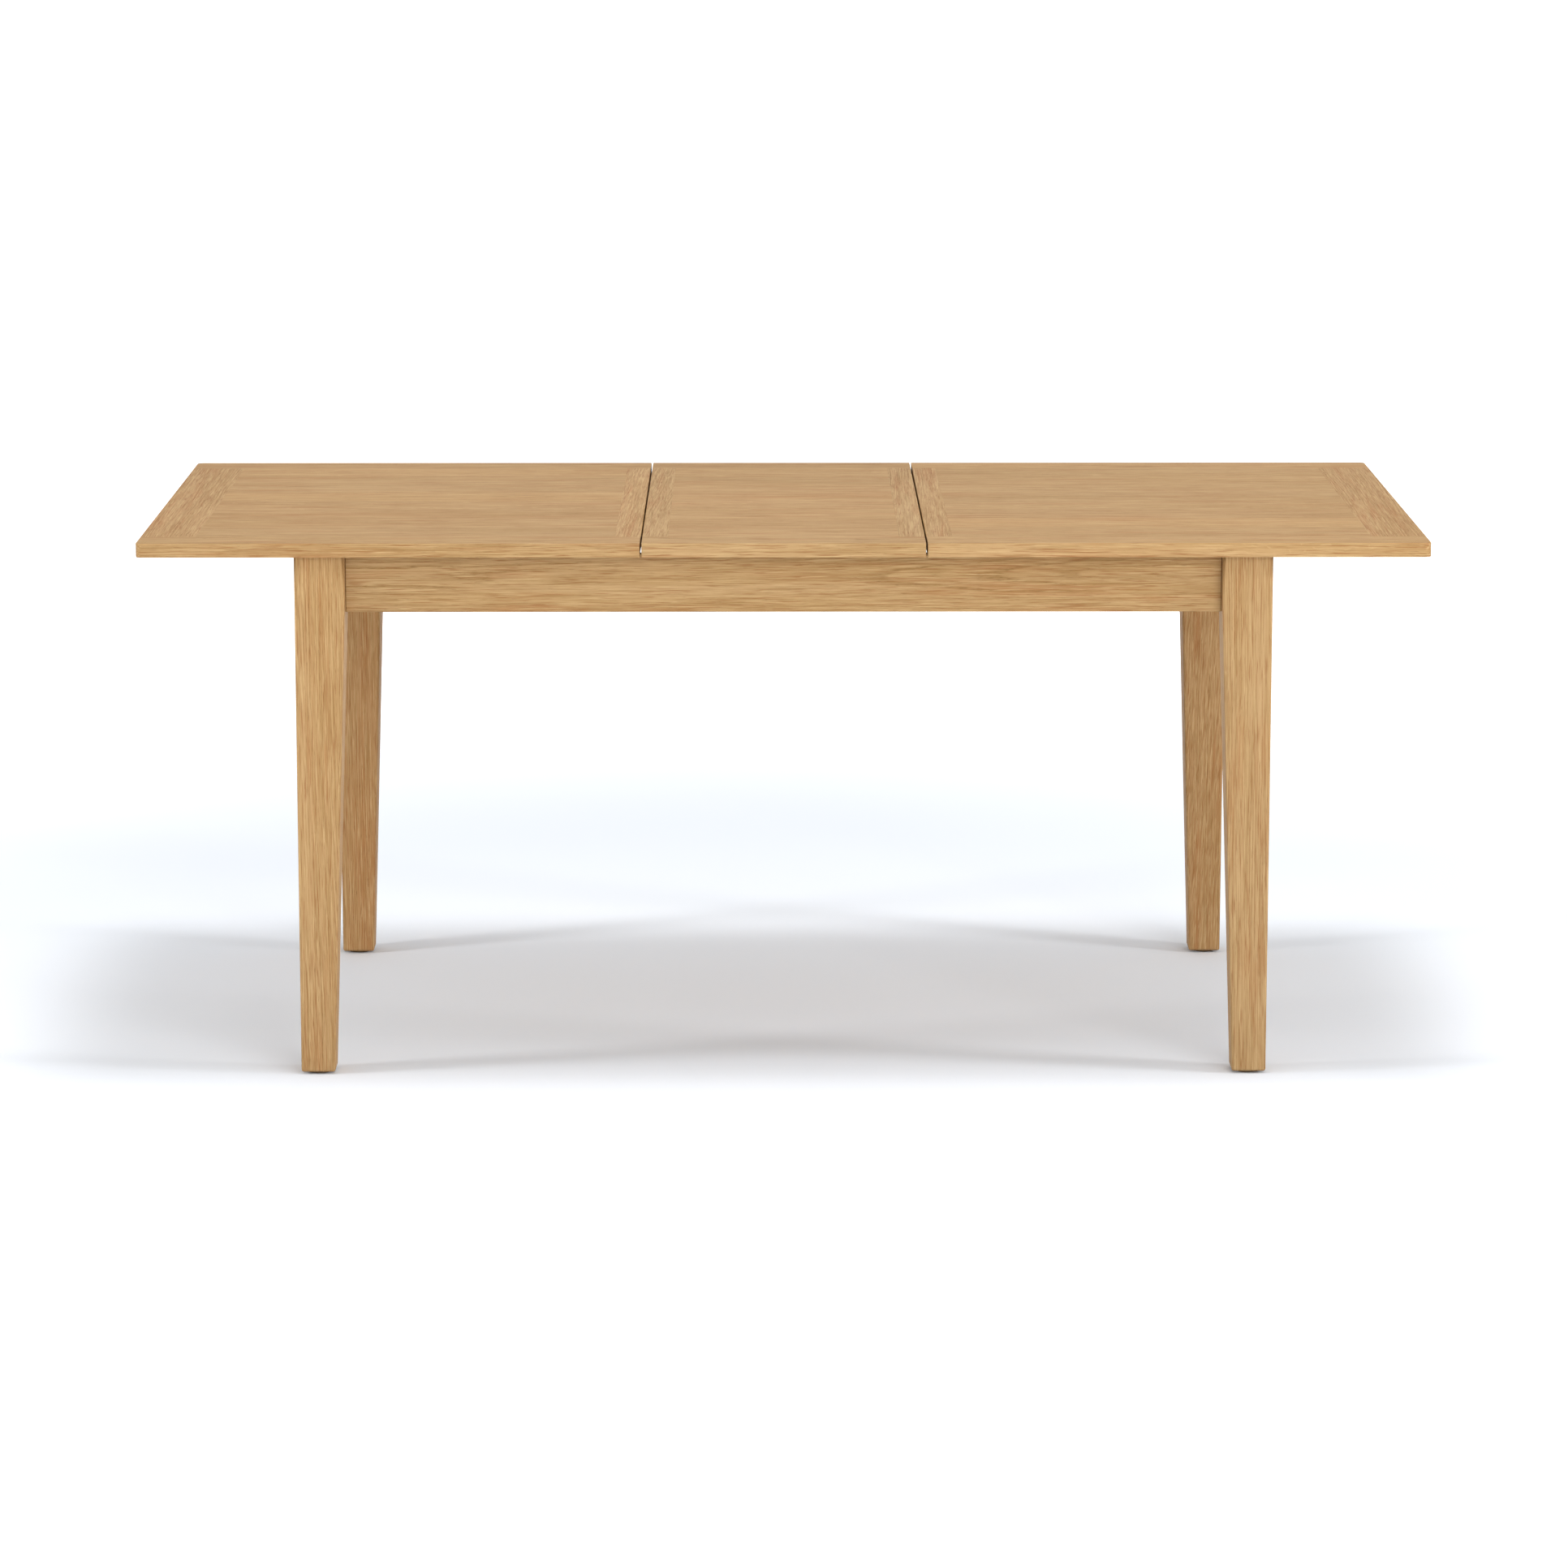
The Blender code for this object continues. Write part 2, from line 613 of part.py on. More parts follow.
def make_catches(side_name, field, leaf_band, parent, distance):
    """Two levers with their pivot screws on a half, and their keeper pins on the leaf.

    A lever rests open, pointing to the middle of the table. It turns a quarter turn to the leaf.
    """
    side = SIDES[side_name]
    pivot_x = side * (SEAM_X + PIVOT_FROM_SEAM)
    keeper_x = pivot_x - side * LEVER_REACH
    for end_name, end in ENDS.items():
        name = f"{side_name}_{end_name}_catch"
        y = end * distance
        opens_left = side == end
        lever = prism(name, lever_outline(), LEVER_THICKNESS, ZINC_STEEL)
        flip = math.pi if opens_left else 0
        turn = -end * math.pi / 2
        middle = Vector((pivot_x, y, (LEVER_TOP + LEVER_BOTTOM) / 2))
        place(lever, middle, (flip, 0, turn), parent)
        hole(lever, middle, UP, SCREW_RADIUS + TOUCH, LEVER_THICKNESS * 2)

        head_bottom = LEVER_BOTTOM - TOUCH - SCREW_HEAD_HEIGHT
        length = UNDERSIDE + SCREW_IN_TOP - head_bottom
        profile = [
            (0, length),
            (SCREW_RADIUS, length),
            (SCREW_RADIUS, SCREW_HEAD_HEIGHT),
            (SCREW_HEAD_RADIUS, SCREW_HEAD_HEIGHT),
            (SCREW_HEAD_RADIUS, SCREW_HEAD_HEIGHT / 2),
            (SCREW_HEAD_FLAT, 0),
            (0, 0),
        ]
        screw = turned(name + "_screw", profile, ZINC_STEEL)
        place(screw, (pivot_x, y, head_bottom), parent=parent)
        mouth = Vector((pivot_x, y, UNDERSIDE))
        hole(field, mouth, UP, SCREW_RADIUS + TOUCH, 2 * (SCREW_IN_TOP + TOUCH))

        low, high = UNDERSIDE - KEEPER_BELOW_LEAF, UNDERSIDE + KEEPER_IN_LEAF
        keeper = f"leaf_{side_name}_{end_name}_keeper"
        round_pin(keeper, KEEPER_RADIUS, low, high, keeper_x, y, ZINC_STEEL, LEAF)
        mouth = Vector((keeper_x, y, UNDERSIDE))
        hole(leaf_band, mouth, UP, KEEPER_RADIUS + TOUCH, 2 * (KEEPER_IN_LEAF + TOUCH))


def make_frame():
    """Legs, aprons, corner hardware, guide rails and the centre bearer."""
    for end_name, end in ENDS.items():
        for side_name, side in SIDES.items():
            name = f"{end_name}_{side_name}"
            leg = make_leg(name + "_leg", side, end)
            make_corner(name, side, end, leg)
    make_aprons()
    make_guide_rails()
    make_bearer()


make_frame()
make_top()
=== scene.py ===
"""Extendable oak dining table: its boards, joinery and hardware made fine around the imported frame.

Metres, +Z up, in the frame's own axes: +X along the table and +Y towards its rear.
"""

import itertools
import json
import math
import random

import bmesh
import bpy
from mathutils import Euler, Matrix, Vector

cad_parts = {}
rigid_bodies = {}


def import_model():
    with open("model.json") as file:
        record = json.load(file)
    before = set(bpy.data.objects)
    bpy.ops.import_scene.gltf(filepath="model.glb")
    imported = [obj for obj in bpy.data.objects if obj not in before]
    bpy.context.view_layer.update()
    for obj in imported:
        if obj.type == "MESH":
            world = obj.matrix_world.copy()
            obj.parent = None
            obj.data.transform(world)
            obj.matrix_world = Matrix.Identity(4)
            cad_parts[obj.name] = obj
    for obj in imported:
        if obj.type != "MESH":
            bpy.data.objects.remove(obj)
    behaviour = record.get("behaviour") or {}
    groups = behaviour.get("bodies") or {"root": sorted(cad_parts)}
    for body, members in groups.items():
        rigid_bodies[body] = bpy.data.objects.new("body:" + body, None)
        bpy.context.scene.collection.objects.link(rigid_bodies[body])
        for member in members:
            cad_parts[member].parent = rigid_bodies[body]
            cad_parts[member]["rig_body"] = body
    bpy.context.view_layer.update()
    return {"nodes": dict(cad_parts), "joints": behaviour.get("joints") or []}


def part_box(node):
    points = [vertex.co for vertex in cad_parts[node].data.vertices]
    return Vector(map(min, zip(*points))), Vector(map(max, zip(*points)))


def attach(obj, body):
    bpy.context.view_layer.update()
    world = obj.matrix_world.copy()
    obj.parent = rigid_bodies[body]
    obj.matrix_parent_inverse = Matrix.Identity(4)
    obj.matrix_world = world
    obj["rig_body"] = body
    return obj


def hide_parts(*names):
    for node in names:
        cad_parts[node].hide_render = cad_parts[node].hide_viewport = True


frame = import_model()

bl_info = {
    "name": "Extendable oak dining table",
    "version": (1, 0, 0),
    "blender": (4, 5, 0),
    "location": "3D View > Sidebar > Dining table",
    "description": "Makes the boards, joinery, hardware and studio of an extendable oak dining table",
    "category": "Object",
}

SIDES = {"left": -1, "right": 1}
ENDS = {"front": -1, "rear": 1}
CORNERS = {f"{e}_{s}": (SIDES[s], ENDS[e]) for e in ENDS for s in SIDES}
X, Y, Z = Vector((1, 0, 0)), Vector((0, 1, 0)), Vector((0, 0, 1))
SHARP = math.radians(38)
HAIR = 0.0001


def linear(hex_colour):
    """An sRGB hex colour as linear red, green and blue."""
    parts = [int(hex_colour[i : i + 2], 16) / 255 for i in (0, 2, 4)]
    return tuple(c / 12.92 if c <= 0.04045 else ((c + 0.055) / 1.055) ** 2.4 for c in parts)


def number(name, description, default, **settings):
    """A property for any other number."""
    return bpy.props.FloatProperty(
        name=name, description=description, default=default, **settings
    )


def length(name, description, default):
    """A property for a length in metres."""
    return number(name, description, default, min=0, precision=5, unit="LENGTH")


def colour(name, description, hex_colour):
    """A property for a colour."""
    return bpy.props.FloatVectorProperty(
        name=name,
        description=description,
        default=linear(hex_colour),
        min=0,
        max=1,
        size=3,
        subtype="COLOR",
    )


class TableSizes(bpy.types.PropertyGroup):
    """Sizes that the frame leaves to the joiner."""

    arris: length("Top arris", "Radius of the rounded edges of the top", 0.0009)
    corner: length("Outer corner", "Radius in plan of the four corners of the table", 0.009)
    seam_corner: length("Seam corner", "Radius in plan of the corners at the seams", 0.0015)
    stave: length("Stave width", "Width of the staves that a field is glued up from", 0.096)
    leg_arris: length("Leg arris", "Radius of the upright edges of a leg", 0.0035)
    foot_chamfer: length("Foot chamfer", "Chamfer round the foot of a leg", 0.0030)
    foot_width: length("Foot width", "Width of a leg at the floor", 0.048)
    apron_arris: length("Apron arris", "Radius of the edges of an apron", 0.0012)
    beech_arris: length("Beech arris", "Radius of the edges of rails and runners", 0.0008)
    flute_depth: length("Flute depth", "Depth of the flutes of a dowel peg", 0.0003)
    thread_pitch: length("Thread pitch", "Pitch of the hanger bolts", 0.00125)
    thread_depth: length("Thread depth", "Depth of the hanger bolts' thread", 0.0006)
    thread_length: length("Thread length", "Threaded stretch at the nut's end of a bolt", 0.022)
    nut_corner: length("Nut corner", "Radius of a hex nut at its corners", 0.0075)
    nut_height: length("Nut height", "Height of a hex nut", 0.0065)
    glide_flange: length("Glide flange", "Thickness of a glide under the leg", 0.0032)
    glide_stem: length("Glide stem", "Radius of a glide's stem", 0.005)
    lever_end: length("Lever end", "Half the width of a catch lever", 0.009)
    lever_hook: length("Lever hook", "Outer radius of a catch lever's hook", 0.010)
    lever_slot: length("Lever slot", "Radius of the slot that takes the keeper pin", 0.0036)
    lever_finger: length("Lever finger", "How far the hook's finger reaches past the pin", 0.006)
    lever_bore: length("Lever bore", "Radius of the hole for the pivot screw", 0.0028)
    plate_edge: length("Plate edge", "Radius of a catch lever's edges", 0.0005)
    wood_screw: length("Wood screw head", "Radius of a countersunk screw head", 0.0040)
    pivot_screw: length("Pivot screw head", "Radius of a catch's domed screw head", 0.0055)
    pivot_height: length("Pivot screw height", "Height of a catch's domed screw head", 0.003)


class TableColours(bpy.types.PropertyGroup):
    """Colours of the timber and the hardware."""

    oak_pale: colour("Oak, pale fibres", "Short pale fibres and ray flecks", "BFA072")
    oak_light: colour("Oak, light streaks", "Dense pale wood between the rings", "B6956A")
    oak_mid: colour("Oak, body", "General colour of the lacquered oak", "AB895C")
    oak_dark: colour("Oak, early wood", "Open-pored wood at the start of a ring", "8C6A3F")
    oak_red: colour("Oak, warm streaks", "Reddish mineral streaks", "A5764C")
    oak_rust: colour("Oak, dashes", "Short red-brown dashes", "8C5D37")
    oak_pore: colour("Oak, pores", "Bottoms of the open pores", "664729")
    beech_light: colour("Beech, body", "Steamed beech", "BC9670")
    beech_dark: colour("Beech, rings", "Faint darker rings of beech", "AA8058")
    beech_fleck: colour("Beech, flecks", "Short dark flecks of beech", "8A6240")
    zinc: colour("Zinc", "Bright zinc plating", "C6C9C9")
    zinc_shade: colour("Zinc, shade", "Duller crystals in the plating", "A4A8AA")
    nylon: colour("Nylon", "Moulded glides", "56452F")
    nylon_worn: colour("Nylon, worn", "Paler grit of the glides", "665339")


class StageSettings(bpy.types.PropertyGroup):
    """The camera, the floor and the light."""

    lens: number("Lens", "Focal length", 130, unit="CAMERA")
    distance: length("Distance", "How far the camera stands in front of the table", 8.2378)
    height: length("Height", "Height of the camera", 1.8485)
    aside: number("Aside", "Camera's place along the table", -0.0324, unit="LENGTH")
    pitch: number("Pitch", "How far the camera looks down", math.radians(10.39), subtype="ANGLE")
    turn: number(
        "Turn", "How far the camera is turned to its left", math.radians(-0.241), subtype="ANGLE"
    )
    clip: length("Clip end", "How far the camera sees", 200)
    floor: colour("Floor", "Background paper with a cool cast", "EAEFF5")
    floor_cloud: colour("Floor, cloud", "Slight unevenness of the paper", "E8EDF4")
    floor_reach: length("Floor reach", "How far the paper runs from the middle", 60)
    # The paper's glow is painted light: the floor itself emits it, with no lamp behind the paper.
    glow: number("Paper glow", "Light through the paper away from the table", 1.0)
    painted_glow_tint: colour("Glow tint", "Slightly warm light through the paper", "FFFCF8")
    painted_glow_start: length("Glow start", "Where the paper starts to glow, from the middle", 1.3)
    painted_glow_full: length("Glow full", "Where the paper glows fully, from the middle", 4.2)
    horizon: number("Horizon light", "Strength of the sky near the horizon", 0.40)
    zenith: number("Overhead light", "Strength of the sky overhead", 0.68)


# ---------------------------------------------------------------- nodes and materials


def add_node(tree, kind, inputs=None, output=0, **settings):
    """Adds a node and gives one of its outputs.

    An input that is given a socket, or a list of them, is linked. Any other takes the value.
    """
    node = tree.nodes.new(kind)
    for name, value in settings.items():
        setattr(node, name, value)
    for key, value in (inputs or {}).items():
        sockets = value if isinstance(value, list) else [value]
        for socket in sockets:
            if isinstance(socket, bpy.types.NodeSocket):
                tree.links.new(socket, node.inputs[key])
            else:
                node.inputs[key].default_value = value
    return node.outputs[output]


def new_material(name):
    """An empty node material, its tree and its shader."""
    material = bpy.data.materials.new(name)
    material.use_nodes = True
    tree = material.node_tree
    return material, tree, tree.nodes["Principled BSDF"]


MIX_FACTOR, MIX_A, MIX_B, MIX_RESULT = 0, 6, 7, 2


def timber(name, look):
    """Sawn and finished timber, with growth rings round the pith that the board was cut beside.

    The attribute "grain" holds a point's place in its log, in metres: along the pith, then the two
    ways across it. Straight lines, flames and end grain all follow from the same rings. The
    attribute "board" holds the board's tone, its share of end grain and its warmth.
    """
    material, tree, shader = new_material(name)
    grain = add_node(tree, "ShaderNodeAttribute", output="Vector", attribute_name="grain")
    board = add_node(tree, "ShaderNodeAttribute", output="Vector", attribute_name="board")
    tone, end_grain, warmth = add_node(tree, "ShaderNodeSeparateXYZ", {0: board}).node.outputs

    # The tree leans and bends as it grows, which turns straight rings into flames on a flat face.
    place = grain
    for sizes, detail, reach in look["bends"]:
        scale = [1 / size for size in sizes]
        cells = add_node(tree, "ShaderNodeMapping", {"Vector": grain, "Scale": scale})
        inputs = {"Vector": cells, "Scale": 1.0, "Detail": detail}
        shift = add_node(tree, "ShaderNodeTexNoise", inputs, "Color")
        inputs = {0: shift, 1: (0.5, 0.5, 0.5)}
        shift = add_node(tree, "ShaderNodeVectorMath", inputs, operation="SUBTRACT")
        inputs = {0: shift, 1: (0, reach, reach), 2: place}
        place = add_node(tree, "ShaderNodeVectorMath", inputs, operation="MULTIPLY_ADD")
    along, aside, below = add_node(tree, "ShaderNodeSeparateXYZ", {0: place}).node.outputs
    slice_place = add_node(tree, "ShaderNodeCombineXYZ", {1: aside, 2: below})
    inputs = {0: slice_place}
    radius = add_node(tree, "ShaderNodeVectorMath", inputs, "Value", operation="LENGTH")
    angle = add_node(tree, "ShaderNodeMath", {0: below, 1: aside}, operation="ARCTAN2")
    fan = add_node(tree, "ShaderNodeCombineXYZ", {0: along, 1: radius, 2: angle})

    # Patterns drawn out along the grain, or for the rays along the spokes of the log.
    soft = {"interpolation_type": "SMOOTHSTEP"}
    layers = {}
    for pattern, (sizes, detail, low, high, strength) in look["patterns"].items():
        base = fan if pattern == "ray" else grain
        scale = [1 / size for size in sizes]
        cells = add_node(tree, "ShaderNodeMapping", {"Vector": base, "Scale": scale})
        inputs = {"Vector": cells, "Scale": 1.0, "Detail": detail, "Roughness": 0.6}
        cloud = add_node(tree, "ShaderNodeTexNoise", inputs)
        inputs = {0: cloud, 1: low, 2: high, 4: strength}
        layers[pattern] = add_node(tree, "ShaderNodeMapRange", inputs, **soft)

    # Rings: good years and lean years, each starting abruptly with open early wood.
    inputs = {"W": radius, "Scale": 1 / look["weather"], "Detail": 1.0}
    weather = add_node(tree, "ShaderNodeTexNoise", inputs, noise_dimensions="1D")
    inputs = {0: weather, 1: look["lean_years"]}
    lag = add_node(tree, "ShaderNodeMath", inputs, operation="MULTIPLY")
    inputs = {0: radius, 1: 1 / look["ring"], 2: lag}
    rings = add_node(tree, "ShaderNodeMath", inputs, operation="MULTIPLY_ADD")
    phase = add_node(tree, "ShaderNodeMath", {0: rings}, operation="FRACT")
    year = add_node(tree, "ShaderNodeMath", {0: rings}, operation="FLOOR")
    year = add_node(tree, "ShaderNodeTexWhiteNoise", {"W": year}, noise_dimensions="1D")
    early = add_node(tree, "ShaderNodeMapRange", {0: year, 3: 0.35, 4: 1.0})
    rise = {0: phase, 1: 0.0, 2: 0.14}
    fall = {0: phase, 1: 0.16, 2: 0.80, 3: 1.0, 4: 0.0}
    for inputs in (rise, fall):
        edge = add_node(tree, "ShaderNodeMapRange", inputs, **soft)
        early = add_node(tree, "ShaderNodeMath", {0: early, 1: edge}, operation="MULTIPLY")
    early = add_node(tree, "ShaderNodeMath", {0: early, 1: layers["patch"]}, operation="MULTIPLY")
    open_wood = add_node(tree, "ShaderNodeMapRange", {0: early, 3: 0.25, 4: 1.6})
    inputs = {0: layers["pore"], 1: open_wood}
    pores = add_node(tree, "ShaderNodeMath", inputs, operation="MULTIPLY")

    # The colour is laid on in coats, each over the ones before it.
    blush = add_node(tree, "ShaderNodeMath", {0: layers["blush"], 1: warmth}, operation="ADD")
    inputs = {0: end_grain, 1: look["end"]}
    end_shade = add_node(tree, "ShaderNodeMath", inputs, operation="MULTIPLY")
    body = (*look["mid"], 1)
    for share, tint in (
        (layers["streak"], "light"),
        (blush, "red"),
        (early, "dark"),
        (layers["fibre"], "dark"),
        (layers["dash"], "pale"),
        (layers["stroke"], "rust"),
        (layers["ray"], "pale"),
        (pores, "pore"),
        (end_shade, "pore"),
    ):
        inputs = {MIX_FACTOR: share, MIX_A: body, MIX_B: (*look[tint], 1)}
        body = add_node(tree, "ShaderNodeMix", inputs, MIX_RESULT, data_type="RGBA")
    shade = add_node(tree, "ShaderNodeMath", {0: tone, 1: 1.0}, operation="ADD")
    inputs = {0: body, "Scale": shade}
    body = add_node(tree, "ShaderNodeVectorMath", inputs, operation="SCALE")

    inputs = {0: pores, 1: 0.2, 2: look["roughness"]}
    rough = add_node(tree, "ShaderNodeMath", inputs, operation="MULTIPLY_ADD")
    inputs = {0: early, 1: -0.3, 2: layers["fibre"]}
    relief = add_node(tree, "ShaderNodeMath", inputs, operation="MULTIPLY_ADD")
    relief = add_node(tree, "ShaderNodeMath", {0: relief, 1: pores}, operation="SUBTRACT")
    inputs = {"Height": relief, "Strength": look["relief"], "Distance": 0.0004}
    bump = add_node(tree, "ShaderNodeBump", inputs)
    tree.links.new(body, shader.inputs["Base Color"])
    tree.links.new(rough, shader.inputs["Roughness"])
    tree.links.new(bump, shader.inputs["Normal"])
    shader.inputs["IOR"].default_value = 1.5
    shader.inputs["Specular IOR Level"].default_value = look["specular"]
    return material


def oak_look(colours):
    """European oak, planed, sanded and sprayed with clear satin lacquer.

    To the eye: honey colour, darker open-pored lines where each year starts, long soft streaks,
    short pale fibres, short red-brown dashes, a few ray flecks, and a very low sheen.

    A pattern has its size in metres along the grain and the two ways across it, its detail, the
    stretch of its cloud that is drawn, and its strength. The rays are measured along the grain,
    outward and in radians round the pith. The pores are drawn 0.9 mm wide, three times their real
    width, because a finer pore doesn't show, and the fibres 2 mm wide for the same reason.
    """
    return {
        "pale": colours.oak_pale,
        "light": colours.oak_light,
        "mid": colours.oak_mid,
        "dark": colours.oak_dark,
        "red": colours.oak_red,
        "rust": colours.oak_rust,
        "pore": colours.oak_pore,
        "ring": 0.0026,
        "weather": 0.017,
        "lean_years": 4.0,
        "bends": (((0.77, 0.25, 0.25), 1.0, 0.030), ((0.11, 0.026, 0.026), 2.0, 0.0030)),
        "patterns": {
            "patch": ((0.45, 0.062, 0.062), 1.0, 0.30, 0.62, 0.75),
            "streak": ((0.67, 0.037, 0.037), 3.0, 0.30, 0.70, 1.0),
            "blush": ((0.25, 0.017, 0.017), 2.0, 0.48, 0.72, 0.65),
            "fibre": ((0.14, 0.0024, 0.0024), 3.0, 0.42, 0.70, 0.55),
            "dash": ((0.09, 0.0019, 0.0019), 2.0, 0.48, 0.70, 0.75),
            "stroke": ((0.05, 0.0017, 0.0017), 1.0, 0.54, 0.70, 0.60),
            "ray": ((0.026, 0.011, 0.0043), 1.0, 0.62, 0.72, 0.35),
            "pore": ((0.013, 0.00087, 0.00087), 1.0, 0.56, 0.72, 0.50),
        },
        "end": 0.30,
        "roughness": 0.55,
        "specular": 0.06,
        "relief": 0.35,
    }


def satin_lacquered_oak():
    """The oak of the top, the legs and the aprons."""
    return timber("satin_lacquered_oak", oak_look(bpy.context.scene.table_colours))


def planed_beech():
    """Steamed beech, planed and left bare.

    To the eye: even pinkish tan with faint rings, short dark ray flecks and no gloss. It is used
    where parts slide on each other, because its close grain wears well.
    """
    colours = bpy.context.scene.table_colours
    look = oak_look(colours)
    look.update(
        pale=colours.beech_light,
        light=colours.beech_light,
        mid=colours.beech_light,
        dark=colours.beech_dark,
        red=colours.beech_dark,
        rust=colours.beech_fleck,
        pore=colours.beech_fleck,
        ring=0.0022,
        end=0.25,
        roughness=0.64,
        relief=0.2,
    )
    look["patterns"].update(
        blush=((0.33, 0.025, 0.025), 2.0, 0.45, 0.75, 0.35),
        fibre=((0.077, 0.0033, 0.0033), 3.0, 0.45, 0.75, 0.25),
        stroke=((0.017, 0.002, 0.002), 1.0, 0.60, 0.72, 0.30),
        pore=((0.0048, 0.0011, 0.0011), 0.0, 0.62, 0.70, 0.75),
    )
    return timber("planed_beech", look)


def speckled(name, colours, grit, roughness, relief, metallic=0.0, ior=1.5):
    """A hard surface of two near colours that a fine cloud mixes, with a little relief."""
    material, tree, shader = new_material(name)
    place = add_node(tree, "ShaderNodeTexCoord", output="Object")
    inputs = {"Vector": place, "Scale": 1 / grit, "Detail": 3.0}
    cloud = add_node(tree, "ShaderNodeTexNoise", inputs)
    inputs = {MIX_FACTOR: cloud, MIX_A: (*colours[0], 1), MIX_B: (*colours[1], 1)}
    body = add_node(tree, "ShaderNodeMix", inputs, MIX_RESULT, data_type="RGBA")
    inputs = {0: cloud, 3: roughness[0], 4: roughness[1]}
    rough = add_node(tree, "ShaderNodeMapRange", inputs)
    inputs = {"Height": cloud, "Strength": relief, "Distance": 0.0001}
    bump = add_node(tree, "ShaderNodeBump", inputs)
    tree.links.new(body, shader.inputs["Base Color"])
    tree.links.new(rough, shader.inputs["Roughness"])
    tree.links.new(bump, shader.inputs["Normal"])
    shader.inputs["Metallic"].default_value = metallic
    shader.inputs["IOR"].default_value = ior
    return material


def zinc_plated_steel():
    """Mild steel, stamped or cold formed, with bright zinc plating.

    To the eye: cool light grey metal, a little cloudy from the plating's crystals of about 2 mm,
    with soft reflections.
    """
    colours = bpy.context.scene.table_colours
    tints = (colours.zinc, colours.zinc_shade)
    return speckled("zinc_plated_steel", tints, 0.0022, (0.26, 0.44), 0.15, metallic=1.0)


def moulded_nylon():
    """Injection-moulded nylon with the fine spark-eroded texture of its tool.

    To the eye: dark brown with a waxy half gloss and an even grit of about 0.6 mm.
    """
    colours = bpy.context.scene.table_colours
    tints = (colours.nylon, colours.nylon_worn)
    return speckled("moulded_nylon", tints, 0.0006, (0.42, 0.58), 0.25, ior=1.53)


def white_paper(settings):
    """Matt white background paper that glows a few metres away from the table: painted light, with no
    lamp behind it.

    To the eye: plain cool white without a horizon, with a barely visible cloud in it about a
    metre across, that shows the table's soft shadow.
    """
    material, tree, shader = new_material("white_background_paper")
    place = add_node(tree, "ShaderNodeTexCoord", output="Object")
    cloud = add_node(tree, "ShaderNodeTexNoise", {"Vector": place, "Scale": 1.0, "Detail": 1.0})
    tints = (*settings.floor, 1), (*settings.floor_cloud, 1)
    inputs = {MIX_FACTOR: cloud, MIX_A: tints[0], MIX_B: tints[1]}
    body = add_node(tree, "ShaderNodeMix", inputs, MIX_RESULT, data_type="RGBA")
    # Away from the table the paper glows: painted light that whitens the far floor, with no lamp
    # behind it.
    reach = add_node(tree, "ShaderNodeVectorMath", {0: place}, "Value", operation="LENGTH")
    inputs = {0: reach, 1: settings.painted_glow_start, 2: settings.painted_glow_full, 4: settings.glow}
    glow = add_node(tree, "ShaderNodeMapRange", inputs, interpolation_type="SMOOTHSTEP")
    tree.links.new(body, shader.inputs["Base Color"])
    tree.links.new(glow, shader.inputs["Emission Strength"])
    shader.inputs["Emission Color"].default_value = (*settings.painted_glow_tint, 1)
    shader.inputs["Roughness"].default_value = 0.9
    shader.inputs["Specular IOR Level"].default_value = 0.1
    return material


FINISHES = {
    "oak_top": satin_lacquered_oak,
    "oak_frame": satin_lacquered_oak,
    "beech_rail": planed_beech,
    "zinc_steel": zinc_plated_steel,
    "nylon_glide": moulded_nylon,
}


def finish(slot):
    """The material of a slot, made when it is first asked for."""
    make = FINISHES[slot]
    return bpy.data.materials.get(make.__name__) or make()


# ---------------------------------------------------------------- shapes shared by the pieces


def add_piece(node, kind, bm, slot, turned=False):
    """Makes a finished piece of a bmesh, which stands for a CAD node and rides on its body."""
    name = f"{node}_{kind}"
    mesh = bpy.data.meshes.new(name)
    bm.to_mesh(mesh)
    bm.free()
    if turned:
        mesh.shade_smooth()
        mesh.set_sharp_from_angle(angle=SHARP)
    mesh.materials.append(finish(slot))
    settle(bpy.data.objects.new(name, mesh), [node])


def settle(piece, nodes, body=None):
    """Links a piece, parents it to the body that it rides on, and hides the CAD nodes that it stands
    for.
    """
    bpy.context.scene.collection.objects.link(piece)
    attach(piece, body or frame["nodes"][nodes[0]]["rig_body"])
    if nodes:
        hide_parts(*nodes)


def extent(node):
    """A CAD node's lowest corner, highest corner and middle."""
    low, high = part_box(node)
    return low, high, (low + high) / 2


def box_bmesh(low, high):
    """A bmesh box between two corners."""
    bm = bmesh.new()
    place = Matrix.Translation((Vector(low) + Vector(high)) / 2)
    size = Matrix.Diagonal((*(Vector(high) - Vector(low)), 1))
    bmesh.ops.create_cube(bm, size=1, matrix=place @ size)
    return bm


def round_over(bm, edges, radius, segments):
    """Rounds edges over. The new faces are shaded smooth, and the flats stay flat."""
    made = bmesh.ops.bevel(
        bm, geom=edges, offset=radius, segments=segments, profile=0.5, affect="EDGES"
    )
    for face in made["faces"]:
        face.smooth = True


def is_upright(edge):
    """True for an edge that runs up and down, also on a slope."""
    return abs((edge.verts[0].co - edge.verts[1].co).normalized().z) > 0.5


def cad_copy(node):
    """The shape of a CAD node with its loose triangles joined into whole flat faces."""
    bm = bmesh.new()
    bm.from_mesh(frame["nodes"][node].data)
    for face in bm.faces:
        face.smooth = False
    bmesh.ops.remove_doubles(bm, verts=bm.verts, dist=HAIR / 10)
    bmesh.ops.dissolve_limit(
        bm, angle_limit=math.radians(1), verts=bm.verts, edges=bm.edges, delimit=set()
    )
    for layer in list(bm.loops.layers.uv.values()):
        bm.loops.layers.uv.remove(layer)
    return bm


